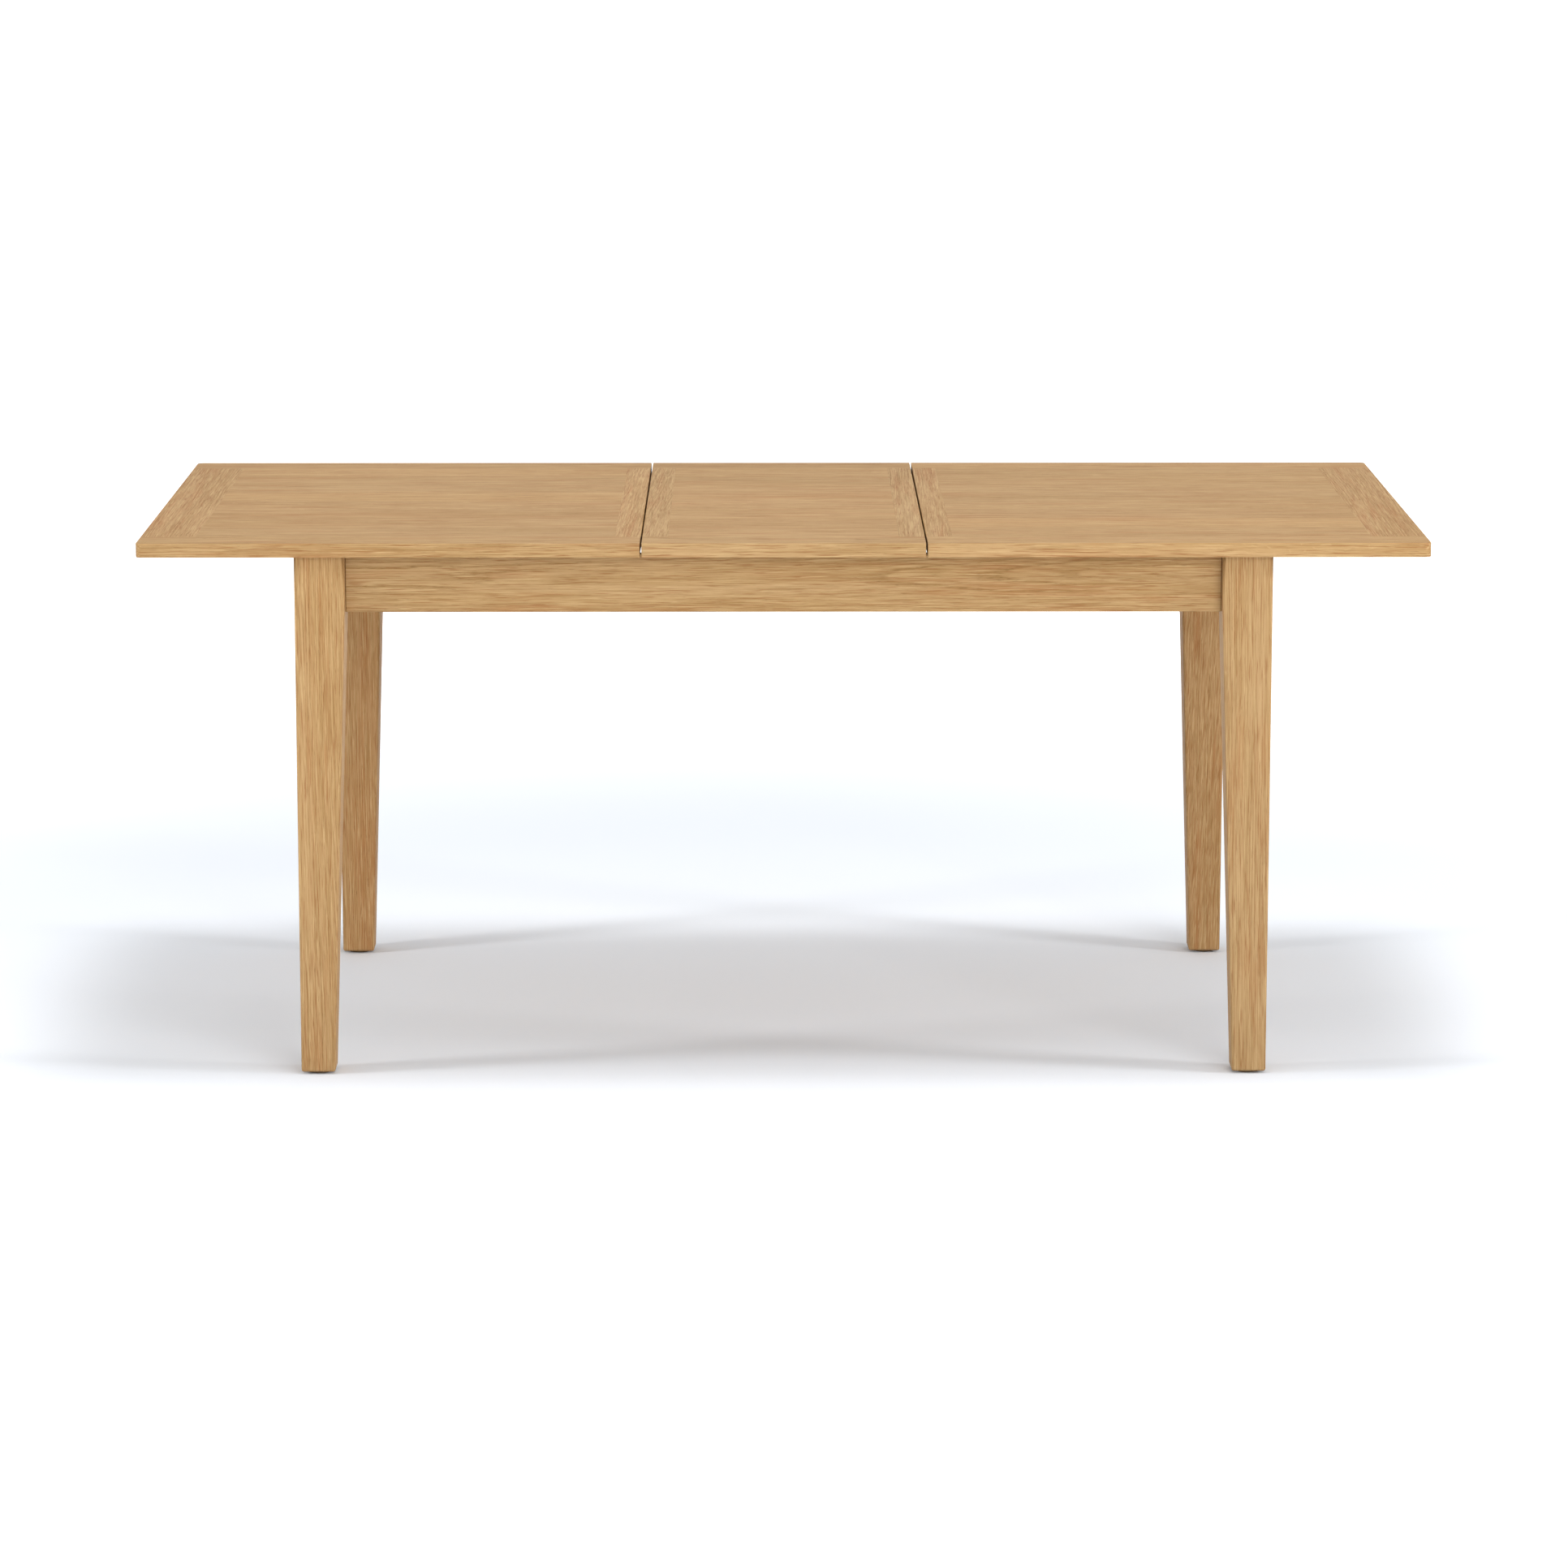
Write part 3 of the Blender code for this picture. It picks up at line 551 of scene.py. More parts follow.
def saw(name, along, across, middle, cut, warmer=0):
    """How one board was cut from its log, chosen by its name.

    Gives the matrix from the table to the log, the direction of the grain, a tone and a warmth. A
    plain-sawn board lies flat beside the pith, a rift-sawn one stands at an angle, and a quartered
    one points at it.
    """
    dice = random.Random(name)
    aside, below = {
        "plain": (dice.uniform(-0.03, 0.03), dice.uniform(0.035, 0.075)),
        "rift": (dice.choice((-1, 1)) * dice.uniform(0.07, 0.12), dice.uniform(0.06, 0.09)),
        "quarter": (dice.choice((-1, 1)) * dice.uniform(0.12, 0.20), dice.uniform(-0.02, 0.02)),
    }[cut]
    lean = Euler((0, dice.gauss(0, 0.012), dice.gauss(0, 0.010))).to_matrix()
    axes = Matrix((along, across, along.cross(across)))
    place = Matrix.Translation((dice.uniform(1, 40), aside, below))
    to_log = place @ (lean @ axes).to_4x4() @ Matrix.Translation(-middle)
    return to_log, along, dice.gauss(0, 0.030), dice.uniform(-0.05, 0.16) + warmer


def lay_grain(bm, board_at):
    """Writes each face corner's place in its log, and its board's tone, end grain and warmth."""
    bm.normal_update()
    grain = bm.loops.layers.float_vector.new("grain")
    board = bm.loops.layers.float_vector.new("board")
    for face in bm.faces:
        to_log, along, tone, warmth = board_at(face.calc_center_median())
        end_grain = abs(face.normal.dot(along)) ** 2
        for loop in face.loops:
            loop[grain] = to_log @ loop.vert.co
            loop[board] = (tone, end_grain, warmth)


def solid_board(bm, name, along, across, middle, cut, warmer=0):
    """Lays the grain of a piece that is one board."""
    board = saw(name, along, across, middle, cut, warmer)
    lay_grain(bm, lambda place: board)


def ringed(rows, steps, joined=False):
    """A body about the Z axis from rows of (height, radius at an angle), from bottom to top.

    Joined, the last row meets the first, as in a ring or a nut. Otherwise both ends are closed.
    """
    bm = bmesh.new()
    rings = []
    for height, radius_at in rows:
        ring = []
        for step in range(steps):
            angle = math.tau * step / steps
            radius = radius_at(angle) if callable(radius_at) else radius_at
            ring.append(bm.verts.new((radius * math.cos(angle), radius * math.sin(angle), height)))
        rings.append(ring)
    pairs = list(zip(rings, rings[1:]))
    if joined:
        pairs.append((rings[-1], rings[0]))
    else:
        bm.faces.new(rings[0][::-1])
        bm.faces.new(rings[-1])
    for low, high in pairs:
        for step in range(steps):
            after = (step + 1) % steps
            bm.faces.new((low[step], low[after], high[after], high[step]))
    bmesh.ops.recalc_face_normals(bm, faces=bm.faces)
    return bm


def rounded(low, high, radius, edge_low, edge_high, steps=4):
    """Rows of a pin whose two ends are rounded over."""
    turns = [math.pi / 2 * i / steps for i in range(steps + 1)]
    rows = [
        (low + edge_low * (1 - math.cos(t)), radius - edge_low * (1 - math.sin(t)))
        for t in turns
    ]
    rows += [
        (high - edge_high * (1 - math.sin(t)), radius - edge_high * (1 - math.cos(t)))
        for t in turns
    ]
    return rows


# ---------------------------------------------------------------- the top


def top_section(low, high, radius_low, radius_high, sizes):
    """One whole section of the top, its corners rounded in plan and then all its arrises."""
    bm = box_bmesh(low, high)
    for x, radius in ((low.x, radius_low), (high.x, radius_high)):
        corners = [e for e in bm.edges if is_upright(e) and abs(e.verts[0].co.x - x) < HAIR]
        round_over(bm, corners, radius, 6)
    round_over(bm, [e for e in bm.edges if not is_upright(e)], sizes.arris, 5)
    return bm


def cut_section(bm, place, outward):
    """Cuts away what lies past a plane and closes the cut."""
    everything = bm.verts[:] + bm.edges[:] + bm.faces[:]
    result = bmesh.ops.bisect_plane(
        bm, geom=everything, plane_co=place, plane_no=outward, clear_outer=True
    )
    rim = [item for item in result["geom_cut"] if isinstance(item, bmesh.types.BMEdge)]
    for face in bmesh.ops.contextual_create(bm, geom=rim)["faces"]:
        face.smooth = False


def joint_planes(node, neighbours):
    """The planes between a board and its neighbours, halfway across their hairline joints."""
    low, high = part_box(node)
    for other in neighbours:
        other_low, other_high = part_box(other)
        for axis in range(2):
            for edge, outward in ((high, 1), (low, -1)):
                facing = (other_low if outward > 0 else other_high)[axis]
                if abs(facing - edge[axis]) < 10 * HAIR:
                    middle = (facing + edge[axis]) / 2
                    normal = Vector((0, 0, 0))
                    normal[axis] = outward
                    yield normal * (outward * middle - HAIR / 3), normal


def make_section(boards, corners):
    """The boards of one section of the top: field, bands and border rails."""
    sizes = bpy.context.scene.table_sizes
    boxes = [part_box(name) for name in boards]
    low = Vector([min(b[0][i] for b in boxes) for i in range(3)])
    high = Vector([max(b[1][i] for b in boxes) for i in range(3)])
    for name in boards:
        bm = top_section(low, high, *corners, sizes)
        others = [other for other in boards if other != name]
        for place, outward in joint_planes(name, others):
            cut_section(bm, place, outward)
        board_low, board_high, middle = extent(name)
        if name.endswith("band"):
            solid_board(bm, name, Y, X, middle, "rift")
        elif name.endswith("rail"):
            solid_board(bm, name, X, Y, middle, "plain")
        else:
            glue_staves(bm, name, board_low, board_high, sizes.stave)
        add_piece(name, "board", bm, "oak_top")


def glue_staves(bm, name, low, high, width):
    """A field glued up from staves side by side, each from another part of the log."""
    count = max(1, round((high.y - low.y) / width))
    pitch = (high.y - low.y) / count
    for i in range(1, count):
        everything = bm.verts[:] + bm.edges[:] + bm.faces[:]
        place = Vector((0, low.y + i * pitch, 0))
        bmesh.ops.bisect_plane(bm, geom=everything, plane_co=place, plane_no=Y)
    staves = []
    for i in range(count):
        middle = Vector(((low.x + high.x) / 2, low.y + (i + 0.5) * pitch, high.z))
        cut = ("plain", "rift", "plain", "quarter")[i % 4]
        staves.append(saw(f"{name}_{i}", X, Y, middle, cut))
    lay_grain(bm, lambda place: staves[min(count - 1, int((place.y - low.y) / pitch))])


def make_top():
    """Both halves and the leaf."""
    sizes = bpy.context.scene.table_sizes
    kinds = ("field", "end_band", "seam_band", "front_rail", "rear_rail")
    leaf_kinds = ("field", "left_band", "right_band", "front_rail", "rear_rail")
    outer, seam = sizes.corner, sizes.seam_corner
    make_section([f"left_top_{kind}" for kind in kinds], (outer, seam))
    make_section([f"right_top_{kind}" for kind in kinds], (seam, outer))
    make_section([f"leaf_{kind}" for kind in leaf_kinds], (seam, seam))


# ---------------------------------------------------------------- the frame


# Extra warmth tinted into the rear legs: painted warm shade, standing for the warm bounce light under
# the table.
REAR_LEG_WARM_SHADE = 0.35


def make_legs():
    """Four legs: square down to the aprons, then tapered on their two inner faces."""
    sizes = bpy.context.scene.table_sizes
    taper_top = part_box("front_apron")[0].z
    for corner, (side, end) in CORNERS.items():
        node = corner + "_leg"
        low, high, middle = extent(node)
        bm = box_bmesh(low, high)
        everything = bm.verts[:] + bm.edges[:] + bm.faces[:]
        bmesh.ops.bisect_plane(bm, geom=everything, plane_co=(0, 0, taper_top), plane_no=Z)
        inner_x = min(abs(low.x), abs(high.x))
        inner_y = min(abs(low.y), abs(high.y))
        taper = (high.x - low.x) - sizes.foot_width
        for vert in bm.verts:
            if vert.co.z > taper_top - HAIR:
                continue
            if abs(abs(vert.co.x) - inner_x) < HAIR:
                vert.co.x += side * taper
            if abs(abs(vert.co.y) - inner_y) < HAIR:
                vert.co.y += end * taper
        round_over(bm, [e for e in bm.edges if is_upright(e)], sizes.leg_arris, 5)
        foot = [e for e in bm.edges if max(v.co.z for v in e.verts) < low.z + HAIR]
        round_over(bm, foot, sizes.foot_chamfer, 2)
        # The rear legs stand in the shade under the table, and their extra warmth is painted warm
        # shade.
        solid_board(bm, node, Z, X, middle, "rift", REAR_LEG_WARM_SHADE if end > 0 else 0)
        add_piece(node, "post", bm, "oak_frame")


def make_aprons():
    """Two long aprons and two end aprons."""
    sizes = bpy.context.scene.table_sizes
    for name in (*ENDS, *SIDES):
        node = name + "_apron"
        low, high, middle = extent(node)
        bm = box_bmesh(low, high)
        round_over(bm, bm.edges[:], sizes.apron_arris, 3)
        solid_board(bm, node, X if name in ENDS else Y, Z, middle, "plain")
        add_piece(node, "board", bm, "oak_frame")


def make_joinery():
    """Beech pieces that hold and guide: corner blocks, guide rails, runners and the bearer."""
    arris = bpy.context.scene.table_sizes.beech_arris
    grain = {f"{end}_guide_rail": X for end in ENDS}
    grain.update({f"{side}_{end}_runner": X for side in SIDES for end in ENDS})
    for corner, (side, end) in CORNERS.items():
        grain[corner + "_corner_block"] = Vector((side, -end, 0)).normalized()
    grain["centre_bearer"] = Y
    for node, along in grain.items():
        bm = cad_copy(node)
        if along == X:
            edges = [e for e in bm.edges if e.calc_face_angle(0) > SHARP]
            round_over(bm, edges, arris, 2)
        solid_board(bm, node, along, Z, extent(node)[2], "rift")
        add_piece(node, "bar", bm, "beech_rail")


def make_pegs():
    """Fluted dowel pegs that locate the leaf in the bearer."""
    flute_depth = bpy.context.scene.table_sizes.flute_depth
    flutes = 12
    for end in ENDS:
        node = f"leaf_{end}_peg"
        low, high, middle = extent(node)
        radius = (high.x - low.x) / 2
        edge = radius / 3

        def fluted(angle, full=radius):
            """The radius of the fluted stretch at an angle."""
            return full - flute_depth * max(0, math.cos(flutes * angle))

        ends = rounded(low.z, high.z, radius, edge, edge / 4)
        half = len(ends) // 2
        stretch = [(low.z + edge + HAIR * 4, fluted), (high.z - edge, fluted)]
        bm = ringed(ends[:half] + stretch + ends[half:], 48)
        bm.transform(Matrix.Translation((middle.x, middle.y, 0)))
        solid_board(bm, node, Z, X, middle, "quarter")
        add_piece(node, "dowel", bm, "beech_rail", turned=True)


# ---------------------------------------------------------------- the hardware


def thread_rows(low, high, radius, pitch, depth, per_turn=4):
    """Rows of a machine thread: a ridge that climbs one pitch in each turn."""
    count = round((high - low) / pitch * per_turn)
    rows = []
    for i in range(count + 1):
        height = low + (high - low) * i / count

        def ridge(angle, height=height):
            """The radius of the thread at an angle."""
            phase = (height / pitch - angle / math.tau) % 1
            return radius - depth * abs(2 * phase - 1)

        rows.append((height, ridge))
    return rows


def make_hanger_bolts():
    """Hanger bolts through the corner blocks, each with its hex nut."""
    sizes = bpy.context.scene.table_sizes
    for corner, (side, end) in CORNERS.items():
        inward = Vector((-side, -end, 0)).normalized()
        turn = inward.to_track_quat("Z", "Y").to_matrix().to_4x4()
        bolt, nut = corner + "_hanger_bolt", corner + "_hanger_nut"
        low, high, middle = extent(bolt)
        radius = (high.z - low.z) / 2
        # The diagonal of the bolt's box is as long as the bolt and the width of its ends.
        half = (high.x - low.x) / abs(inward.x) / 2 - radius
        start = half - sizes.thread_length
        edge = radius / 4
        ends = rounded(-half, half, radius, edge, edge)
        middle_row = len(ends) // 2
        depth = sizes.thread_depth
        thread = thread_rows(start, half - edge, radius, sizes.thread_pitch, depth)
        tip = [(height, r - depth / 2) for height, r in ends[middle_row + 1 :]]
        bm = ringed(ends[:middle_row] + [(start - HAIR, radius)] + thread + tip, 24)
        bm.transform(Matrix.Translation(middle) @ turn)
        add_piece(bolt, "rod", bm, "zinc_steel", turned=True)

        bm = hex_nut(sizes.nut_corner, sizes.nut_height, radius + 3 * HAIR)
        bm.transform(Matrix.Translation(extent(nut)[2]) @ turn)
        add_piece(nut, "hex", bm, "zinc_steel", turned=True)


def hex_nut(corner, height, bore):
    """A hex nut centred on the origin, its corners turned off at both faces."""
    flat = corner * math.cos(math.pi / 6)

    def hexagon(limit):
        """A hexagon no wider than a circle."""
        sixth = math.pi / 3
        return lambda angle: min(limit, flat / math.cos(angle % sixth - sixth / 2))

    half = height / 2
    lip = HAIR * 4
    drop = (corner - flat) * math.tan(math.pi / 6) * 1.4
    rows = [(-half, hexagon(flat * 0.97))]
    for share in (0.25, 0.5, 1.0):
        rows.append((-half + drop * share, hexagon(flat + (corner - flat) * share)))
    rows += [(-height, radius) for height, radius in rows[::-1]]
    rows += [(half, bore + lip), (half - lip, bore), (-half + lip, bore), (-half, bore + lip)]
    return ringed(rows, 48, joined=True)


def make_glides():
    """Moulded glides with a domed rim and a shallow ring, and a stem up into the leg."""
    sizes = bpy.context.scene.table_sizes
    flange, stem = sizes.glide_flange, sizes.glide_stem
    dish = 4 * HAIR
    for corner in CORNERS:
        node = corner + "_foot_glide"
        low, high, middle = extent(node)
        radius = (high.x - low.x) / 2
        tip = high.z - low.z
        rows = [(dish, dish), (dish, radius / 2 - dish), (0, radius / 2 + dish)]
        rows += rounded(0, flange, radius, flange / 2, flange / 8)
        rows += [(flange, stem), (tip - stem / 5, stem), (tip, stem * 4 / 5)]
        bm = ringed([(low.z + height, r) for height, r in rows], 48)
        bm.transform(Matrix.Translation((middle.x, middle.y, 0)))
        add_piece(node, "cap", bm, "nylon_glide", turned=True)


def arc(centre, radius, start, end, steps):
    """Points along an arc, in degrees from start to end."""
    angles = [math.radians(start + (end - start) * i / steps) for i in range(steps + 1)]
    return [
        (centre[0] + radius * math.cos(a), centre[1] + radius * math.sin(a)) for a in angles
    ]


def plate(outlines, thickness, edge):
    """A flat plate with rounded edges from closed outlines, the holes among them, about Z 0."""
    curve = bpy.data.curves.new("plate", "CURVE")
    curve.dimensions = "2D"
    curve.fill_mode = "BOTH"
    curve.extrude = thickness / 2 - edge
    curve.bevel_depth = edge
    curve.bevel_resolution = 2
    curve.offset = -edge
    for outline in outlines:
        spline = curve.splines.new("POLY")
        spline.points.add(len(outline) - 1)
        for point, (x, y) in zip(spline.points, outline):
            point.co = (x, y, 0, 1)
        spline.use_cyclic_u = True
    guide = bpy.data.objects.new("plate", curve)
    bpy.context.scene.collection.objects.link(guide)
    graph = bpy.context.evaluated_depsgraph_get()
    mesh = bpy.data.meshes.new_from_object(guide.evaluated_get(graph))
    bpy.data.objects.remove(guide)
    bpy.data.curves.remove(curve)
    bm = bmesh.new()
    bm.from_mesh(mesh)
    bpy.data.meshes.remove(mesh)
    bmesh.ops.remove_doubles(bm, verts=bm.verts, dist=HAIR / 20)
    bmesh.ops.recalc_face_normals(bm, faces=bm.faces)
    return bm


def lever_outline(reach, sizes):
    """A catch lever from its pivot at the origin along +X, with a hook that opens to +Y."""
    end, hook, slot = sizes.lever_end, sizes.lever_hook, sizes.lever_slot
    finger = (hook - slot) / 2
    outline = arc((0, 0), end, 90, 270, 20)
    outline += arc((reach, hook - end), hook, -90, 0, 12)
    outline += arc((reach + slot + finger, sizes.lever_finger), finger, 0, 180, 12)
    outline += arc((reach, 0), slot, 0, -180, 16)
    outline.append((reach - slot, end))
    return outline


def make_catches():
    """Stamped catch levers under the halves, and the keeper pins that they hook round."""
    sizes = bpy.context.scene.table_sizes
    pivots = {joint["child"]: joint for joint in frame["joints"] if joint["type"] == "hinge"}
    bore = arc((0, 0), sizes.lever_bore, 0, 345, 23)
    for side_name, end_name in itertools.product(SIDES, ENDS):
        side, end = SIDES[side_name], ENDS[end_name]
        lever = f"{side_name}_{end_name}_catch"
        keeper = f"leaf_{side_name}_{end_name}_keeper"
        pivot = Vector(pivots[frame["nodes"][lever]["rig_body"]]["pos_m"])
        low, high, pin = extent(keeper)
        outlines = [lever_outline(abs(pin.x - pivot.x), sizes), bore]
        radius = (high.x - low.x) / 2
        rows = rounded(low.z, high.z, radius, radius / 2, HAIR * 2)
        low, high, _ = extent(lever)
        bm = plate(outlines, high.z - low.z, sizes.plate_edge)
        flip = math.pi if side == end else 0
        turn = Euler((flip, 0, -end * math.pi / 2)).to_matrix().to_4x4()
        middle = Vector((pivot.x, pivot.y, (low.z + high.z) / 2))
        bm.transform(Matrix.Translation(middle) @ turn)
        add_piece(lever, "lever", bm, "zinc_steel", turned=True)

        bm = ringed(rows, 32)
        bm.transform(Matrix.Translation((pin.x, pin.y, 0)))
        add_piece(keeper, "pin", bm, "zinc_steel", turned=True)


# ---------------------------------------------------------------- screws by Geometry Nodes

PROUD = 2 * HAIR
SCREW_FROM_EDGE = 0.013
BLOCK_SCREW_REACH = 0.024
RUNNER_SCREWS = 5
RAIL_SCREWS = 6
BEARER_SCREWS = 2
WOOD_SCREW = {
    "Head Radius": 0.004,
    "Head Height": 0.0004,
    "Crown": 0.0003,
    "Recess Width": 0.0011,
    "Recess Depth": 0.0016,
    "Shank Radius": 0.002,
    "Shank Length": 0.010,
}
PIVOT_SCREW = {
    "Crown": 0.0014,
    "Recess Width": 0.0013,
    "Recess Depth": 0.0022,
    "Shank Radius": 0.0025,
    "Shank Length": 0.0155,
}


def screw_tree():
    """A tree that sets a cross-recess screw on every point, its head facing the point's way."""
    tree = bpy.data.node_groups.new("cross_recess_screws", "GeometryNodeTree")
    face = tree.interface
    face.new_socket("Geometry", in_out="INPUT", socket_type="NodeSocketGeometry")
    for name, value in WOOD_SCREW.items():
        face.new_socket(name, in_out="INPUT", socket_type="NodeSocketFloat").default_value = value
    face.new_socket("Finish", in_out="INPUT", socket_type="NodeSocketMaterial")
    face.new_socket("Geometry", in_out="OUTPUT", socket_type="NodeSocketGeometry")
    given = tree.nodes.new("NodeGroupInput").outputs

    # The head is a disc with a crown: its top sinks towards the rim.
    inputs = {"Vertices": 28, "Fill Segments": 4}
    inputs.update({"Radius": given["Head Radius"], "Depth": given["Head Height"]})
    head = add_node(tree, "GeometryNodeMeshCylinder", inputs)
    place = add_node(tree, "GeometryNodeInputPosition")
    parts = add_node(tree, "ShaderNodeSeparateXYZ", {0: place}).node.outputs
    flat = add_node(tree, "ShaderNodeCombineXYZ", {0: parts[0], 1: parts[1]})
    reach = add_node(tree, "ShaderNodeVectorMath", {0: flat}, "Value", operation="LENGTH")
    inputs = {0: reach, 1: given["Head Radius"]}
    share = add_node(tree, "ShaderNodeMath", inputs, operation="DIVIDE")
    bulge = add_node(tree, "ShaderNodeMath", {0: share, 1: 3.0}, operation="POWER")
    inputs = {0: bulge, 1: given["Crown"]}
    sink = add_node(tree, "ShaderNodeMath", inputs, operation="MULTIPLY")
    sink = add_node(tree, "ShaderNodeMath", {0: sink, 1: -1.0}, operation="MULTIPLY")
    above = add_node(tree, "ShaderNodeMath", {0: parts[2], 1: 0.0}, operation="GREATER_THAN")
    drop = add_node(tree, "ShaderNodeCombineXYZ", {2: sink})
    inputs = {"Geometry": head, "Selection": above, "Offset": drop}
    head = add_node(tree, "GeometryNodeSetPosition", inputs)
    inputs = {0: given["Head Height"], 1: 0.5}
    half = add_node(tree, "ShaderNodeMath", inputs, operation="MULTIPLY")
    lift = add_node(tree, "ShaderNodeCombineXYZ", {2: half})
    head = add_node(tree, "GeometryNodeTransform", {"Geometry": head, "Translation": lift})

    # The shank goes down into the wood.
    inputs = {"Vertices": 12, "Radius": given["Shank Radius"], "Depth": given["Shank Length"]}
    shank = add_node(tree, "GeometryNodeMeshCylinder", inputs)
    inputs = {0: given["Shank Length"], 1: -0.5}
    half = add_node(tree, "ShaderNodeMath", inputs, operation="MULTIPLY")
    below = add_node(tree, "ShaderNodeCombineXYZ", {2: half})
    shank = add_node(tree, "GeometryNodeTransform", {"Geometry": shank, "Translation": below})
    whole = add_node(tree, "GeometryNodeMeshBoolean", {1: [head, shank]}, operation="UNION")

    # Two crossed bars cut the driver's recess.
    inputs = {0: given["Head Radius"], 1: 1.15}
    span = add_node(tree, "ShaderNodeMath", inputs, operation="MULTIPLY")
    inputs = {0: given["Recess Depth"], 1: 2.0}
    deep = add_node(tree, "ShaderNodeMath", inputs, operation="MULTIPLY")
    top = add_node(tree, "ShaderNodeCombineXYZ", {2: given["Head Height"]})
    width = given["Recess Width"]
    bars = []
    for long, wide in ((span, width), (width, span)):
        size = add_node(tree, "ShaderNodeCombineXYZ", {0: long, 1: wide, 2: deep})
        bar = add_node(tree, "GeometryNodeMeshCube", {"Size": size})
        inputs = {"Geometry": bar, "Translation": top}
        bars.append(add_node(tree, "GeometryNodeTransform", inputs))
    inputs = {0: whole, 1: bars}
    screw = add_node(tree, "GeometryNodeMeshBoolean", inputs, operation="DIFFERENCE")

    # Each screw stops at its own turn.
    kind = "GeometryNodeInputNamedAttribute"
    facing = add_node(tree, kind, {"Name": "facing"}, data_type="FLOAT_VECTOR")
    aim = add_node(tree, "FunctionNodeAlignRotationToVector", {"Vector": facing}, axis="Z")
    inputs = {2: 0.0, 3: math.pi / 2, "Seed": 7}
    stop = add_node(tree, "FunctionNodeRandomValue", inputs, 1, data_type="FLOAT")
    stop = add_node(tree, "ShaderNodeCombineXYZ", {2: stop})
    stop = add_node(tree, "FunctionNodeEulerToRotation", {0: stop})
    inputs = {0: aim, 1: stop}
    turn = add_node(tree, "FunctionNodeRotateRotation", inputs, rotation_space="LOCAL")
    inputs = {"Points": given["Geometry"], "Instance": screw, "Rotation": turn}
    screws = add_node(tree, "GeometryNodeInstanceOnPoints", inputs)
    screws = add_node(tree, "GeometryNodeRealizeInstances", {0: screws})
    inputs = {"Geometry": screws, "Material": given["Finish"]}
    screws = add_node(tree, "GeometryNodeSetMaterial", inputs)
    done = tree.nodes.new("NodeGroupOutput")
    tree.links.new(screws, done.inputs[0])
    return tree


def drive_screws(name, places, sizes, body, nodes=()):
    """Sets screws at (point, facing) places as one mesh that rides on a body."""
    tree = bpy.data.node_groups.get("cross_recess_screws") or screw_tree()
    points = bpy.data.meshes.new(name + "_points")
    points.from_pydata([place for place, _ in places], [], [])
    facing = points.attributes.new("facing", "FLOAT_VECTOR", "POINT")
    for item, (_, direction) in zip(facing.data, places):
        item.vector = direction
    holder = bpy.data.objects.new(name + "_points", points)
    bpy.context.scene.collection.objects.link(holder)
    screws = holder.modifiers.new("Screws", "NODES")
    screws.node_group = tree
    values = dict(sizes, Finish=finish("zinc_steel"))
    for item in tree.interface.items_tree:
        if item.in_out == "INPUT" and item.name in values:
            screws[item.identifier] = values[item.name]
    graph = bpy.context.evaluated_depsgraph_get()
    mesh = bpy.data.meshes.new_from_object(holder.evaluated_get(graph))
    bpy.data.objects.remove(holder)
    # The booleans leave loose edges and points behind.
    bm = bmesh.new()
    bm.from_mesh(mesh)
    bmesh.ops.delete(bm, geom=[e for e in bm.edges if not e.link_faces], context="EDGES")
    bmesh.ops.delete(bm, geom=[v for v in bm.verts if not v.link_faces], context="VERTS")
    bm.to_mesh(mesh)
    bm.free()
    mesh.shade_smooth()
    mesh.set_sharp_from_angle(angle=SHARP)
    settle(bpy.data.objects.new(name, mesh), nodes, body)


def spread(low, high, count):
    """Even places between two ends, half a step in from each."""
    return [low + (high - low) * (i + 0.5) / count for i in range(count)]


def make_screws():
    """The wood screws of the runners, rails, bearer and blocks, and the catches' pivot screws."""
    sizes = bpy.context.scene.table_sizes
    wood = {"Head Radius": sizes.wood_screw}
    rise = sizes.pivot_height
    pivot = dict(PIVOT_SCREW, **{"Head Radius": sizes.pivot_screw, "Head Height": rise})
    for side in SIDES:
        body = side + "_top"
        places = []
        for end_name, end in ENDS.items():
            low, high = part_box(f"{side}_{end_name}_runner")
            y = (low.y if end > 0 else high.y) + end * SCREW_FROM_EDGE
            places += [((x, y, low.z - PROUD), -Z) for x in spread(low.x, high.x, RUNNER_SCREWS)]
        drive_screws(body + "_runner_screws", places, wood, body)
        nodes = [f"{side}_{end}_catch_screw" for end in ENDS]
        places = []
        for low, _, middle in map(extent, nodes):
            places.append(((middle.x, middle.y, low.z + rise), -Z))
        drive_screws(side + "_catch_pivots", places, pivot, body, nodes)
    places = []
    for end_name, end in ENDS.items():
        low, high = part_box(f"{end_name}_guide_rail")
        y = (low.y if end > 0 else high.y) - end * PROUD
        z = low.z + SCREW_FROM_EDGE / 2
        places += [((x, y, z), -end * Y) for x in spread(low.x, high.x, RAIL_SCREWS)]
        low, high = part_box("centre_bearer")
        y = end * (high.y - SCREW_FROM_EDGE)
        places += [((x, y, low.z - PROUD), -Z) for x in spread(low.x, high.x, BEARER_SCREWS)]
        for side_name, side in SIDES.items():
            middle = extent(f"{end_name}_{side_name}_hanger_nut")[2]
            inward = Vector((-side, -end, 0)).normalized()
            across = Vector((side, -end, 0)).normalized()
            face = middle + inward * (PROUD - sizes.nut_height / 2 - 3 * HAIR)
            for reach in (-BLOCK_SCREW_REACH, BLOCK_SCREW_REACH):
                places.append((face + across * reach, inward))
    drive_screws("frame_wood_screws", places, wood, "frame")


# ---------------------------------------------------------------- the stage

LIT_POINT = Vector((0, 0, 0.5))
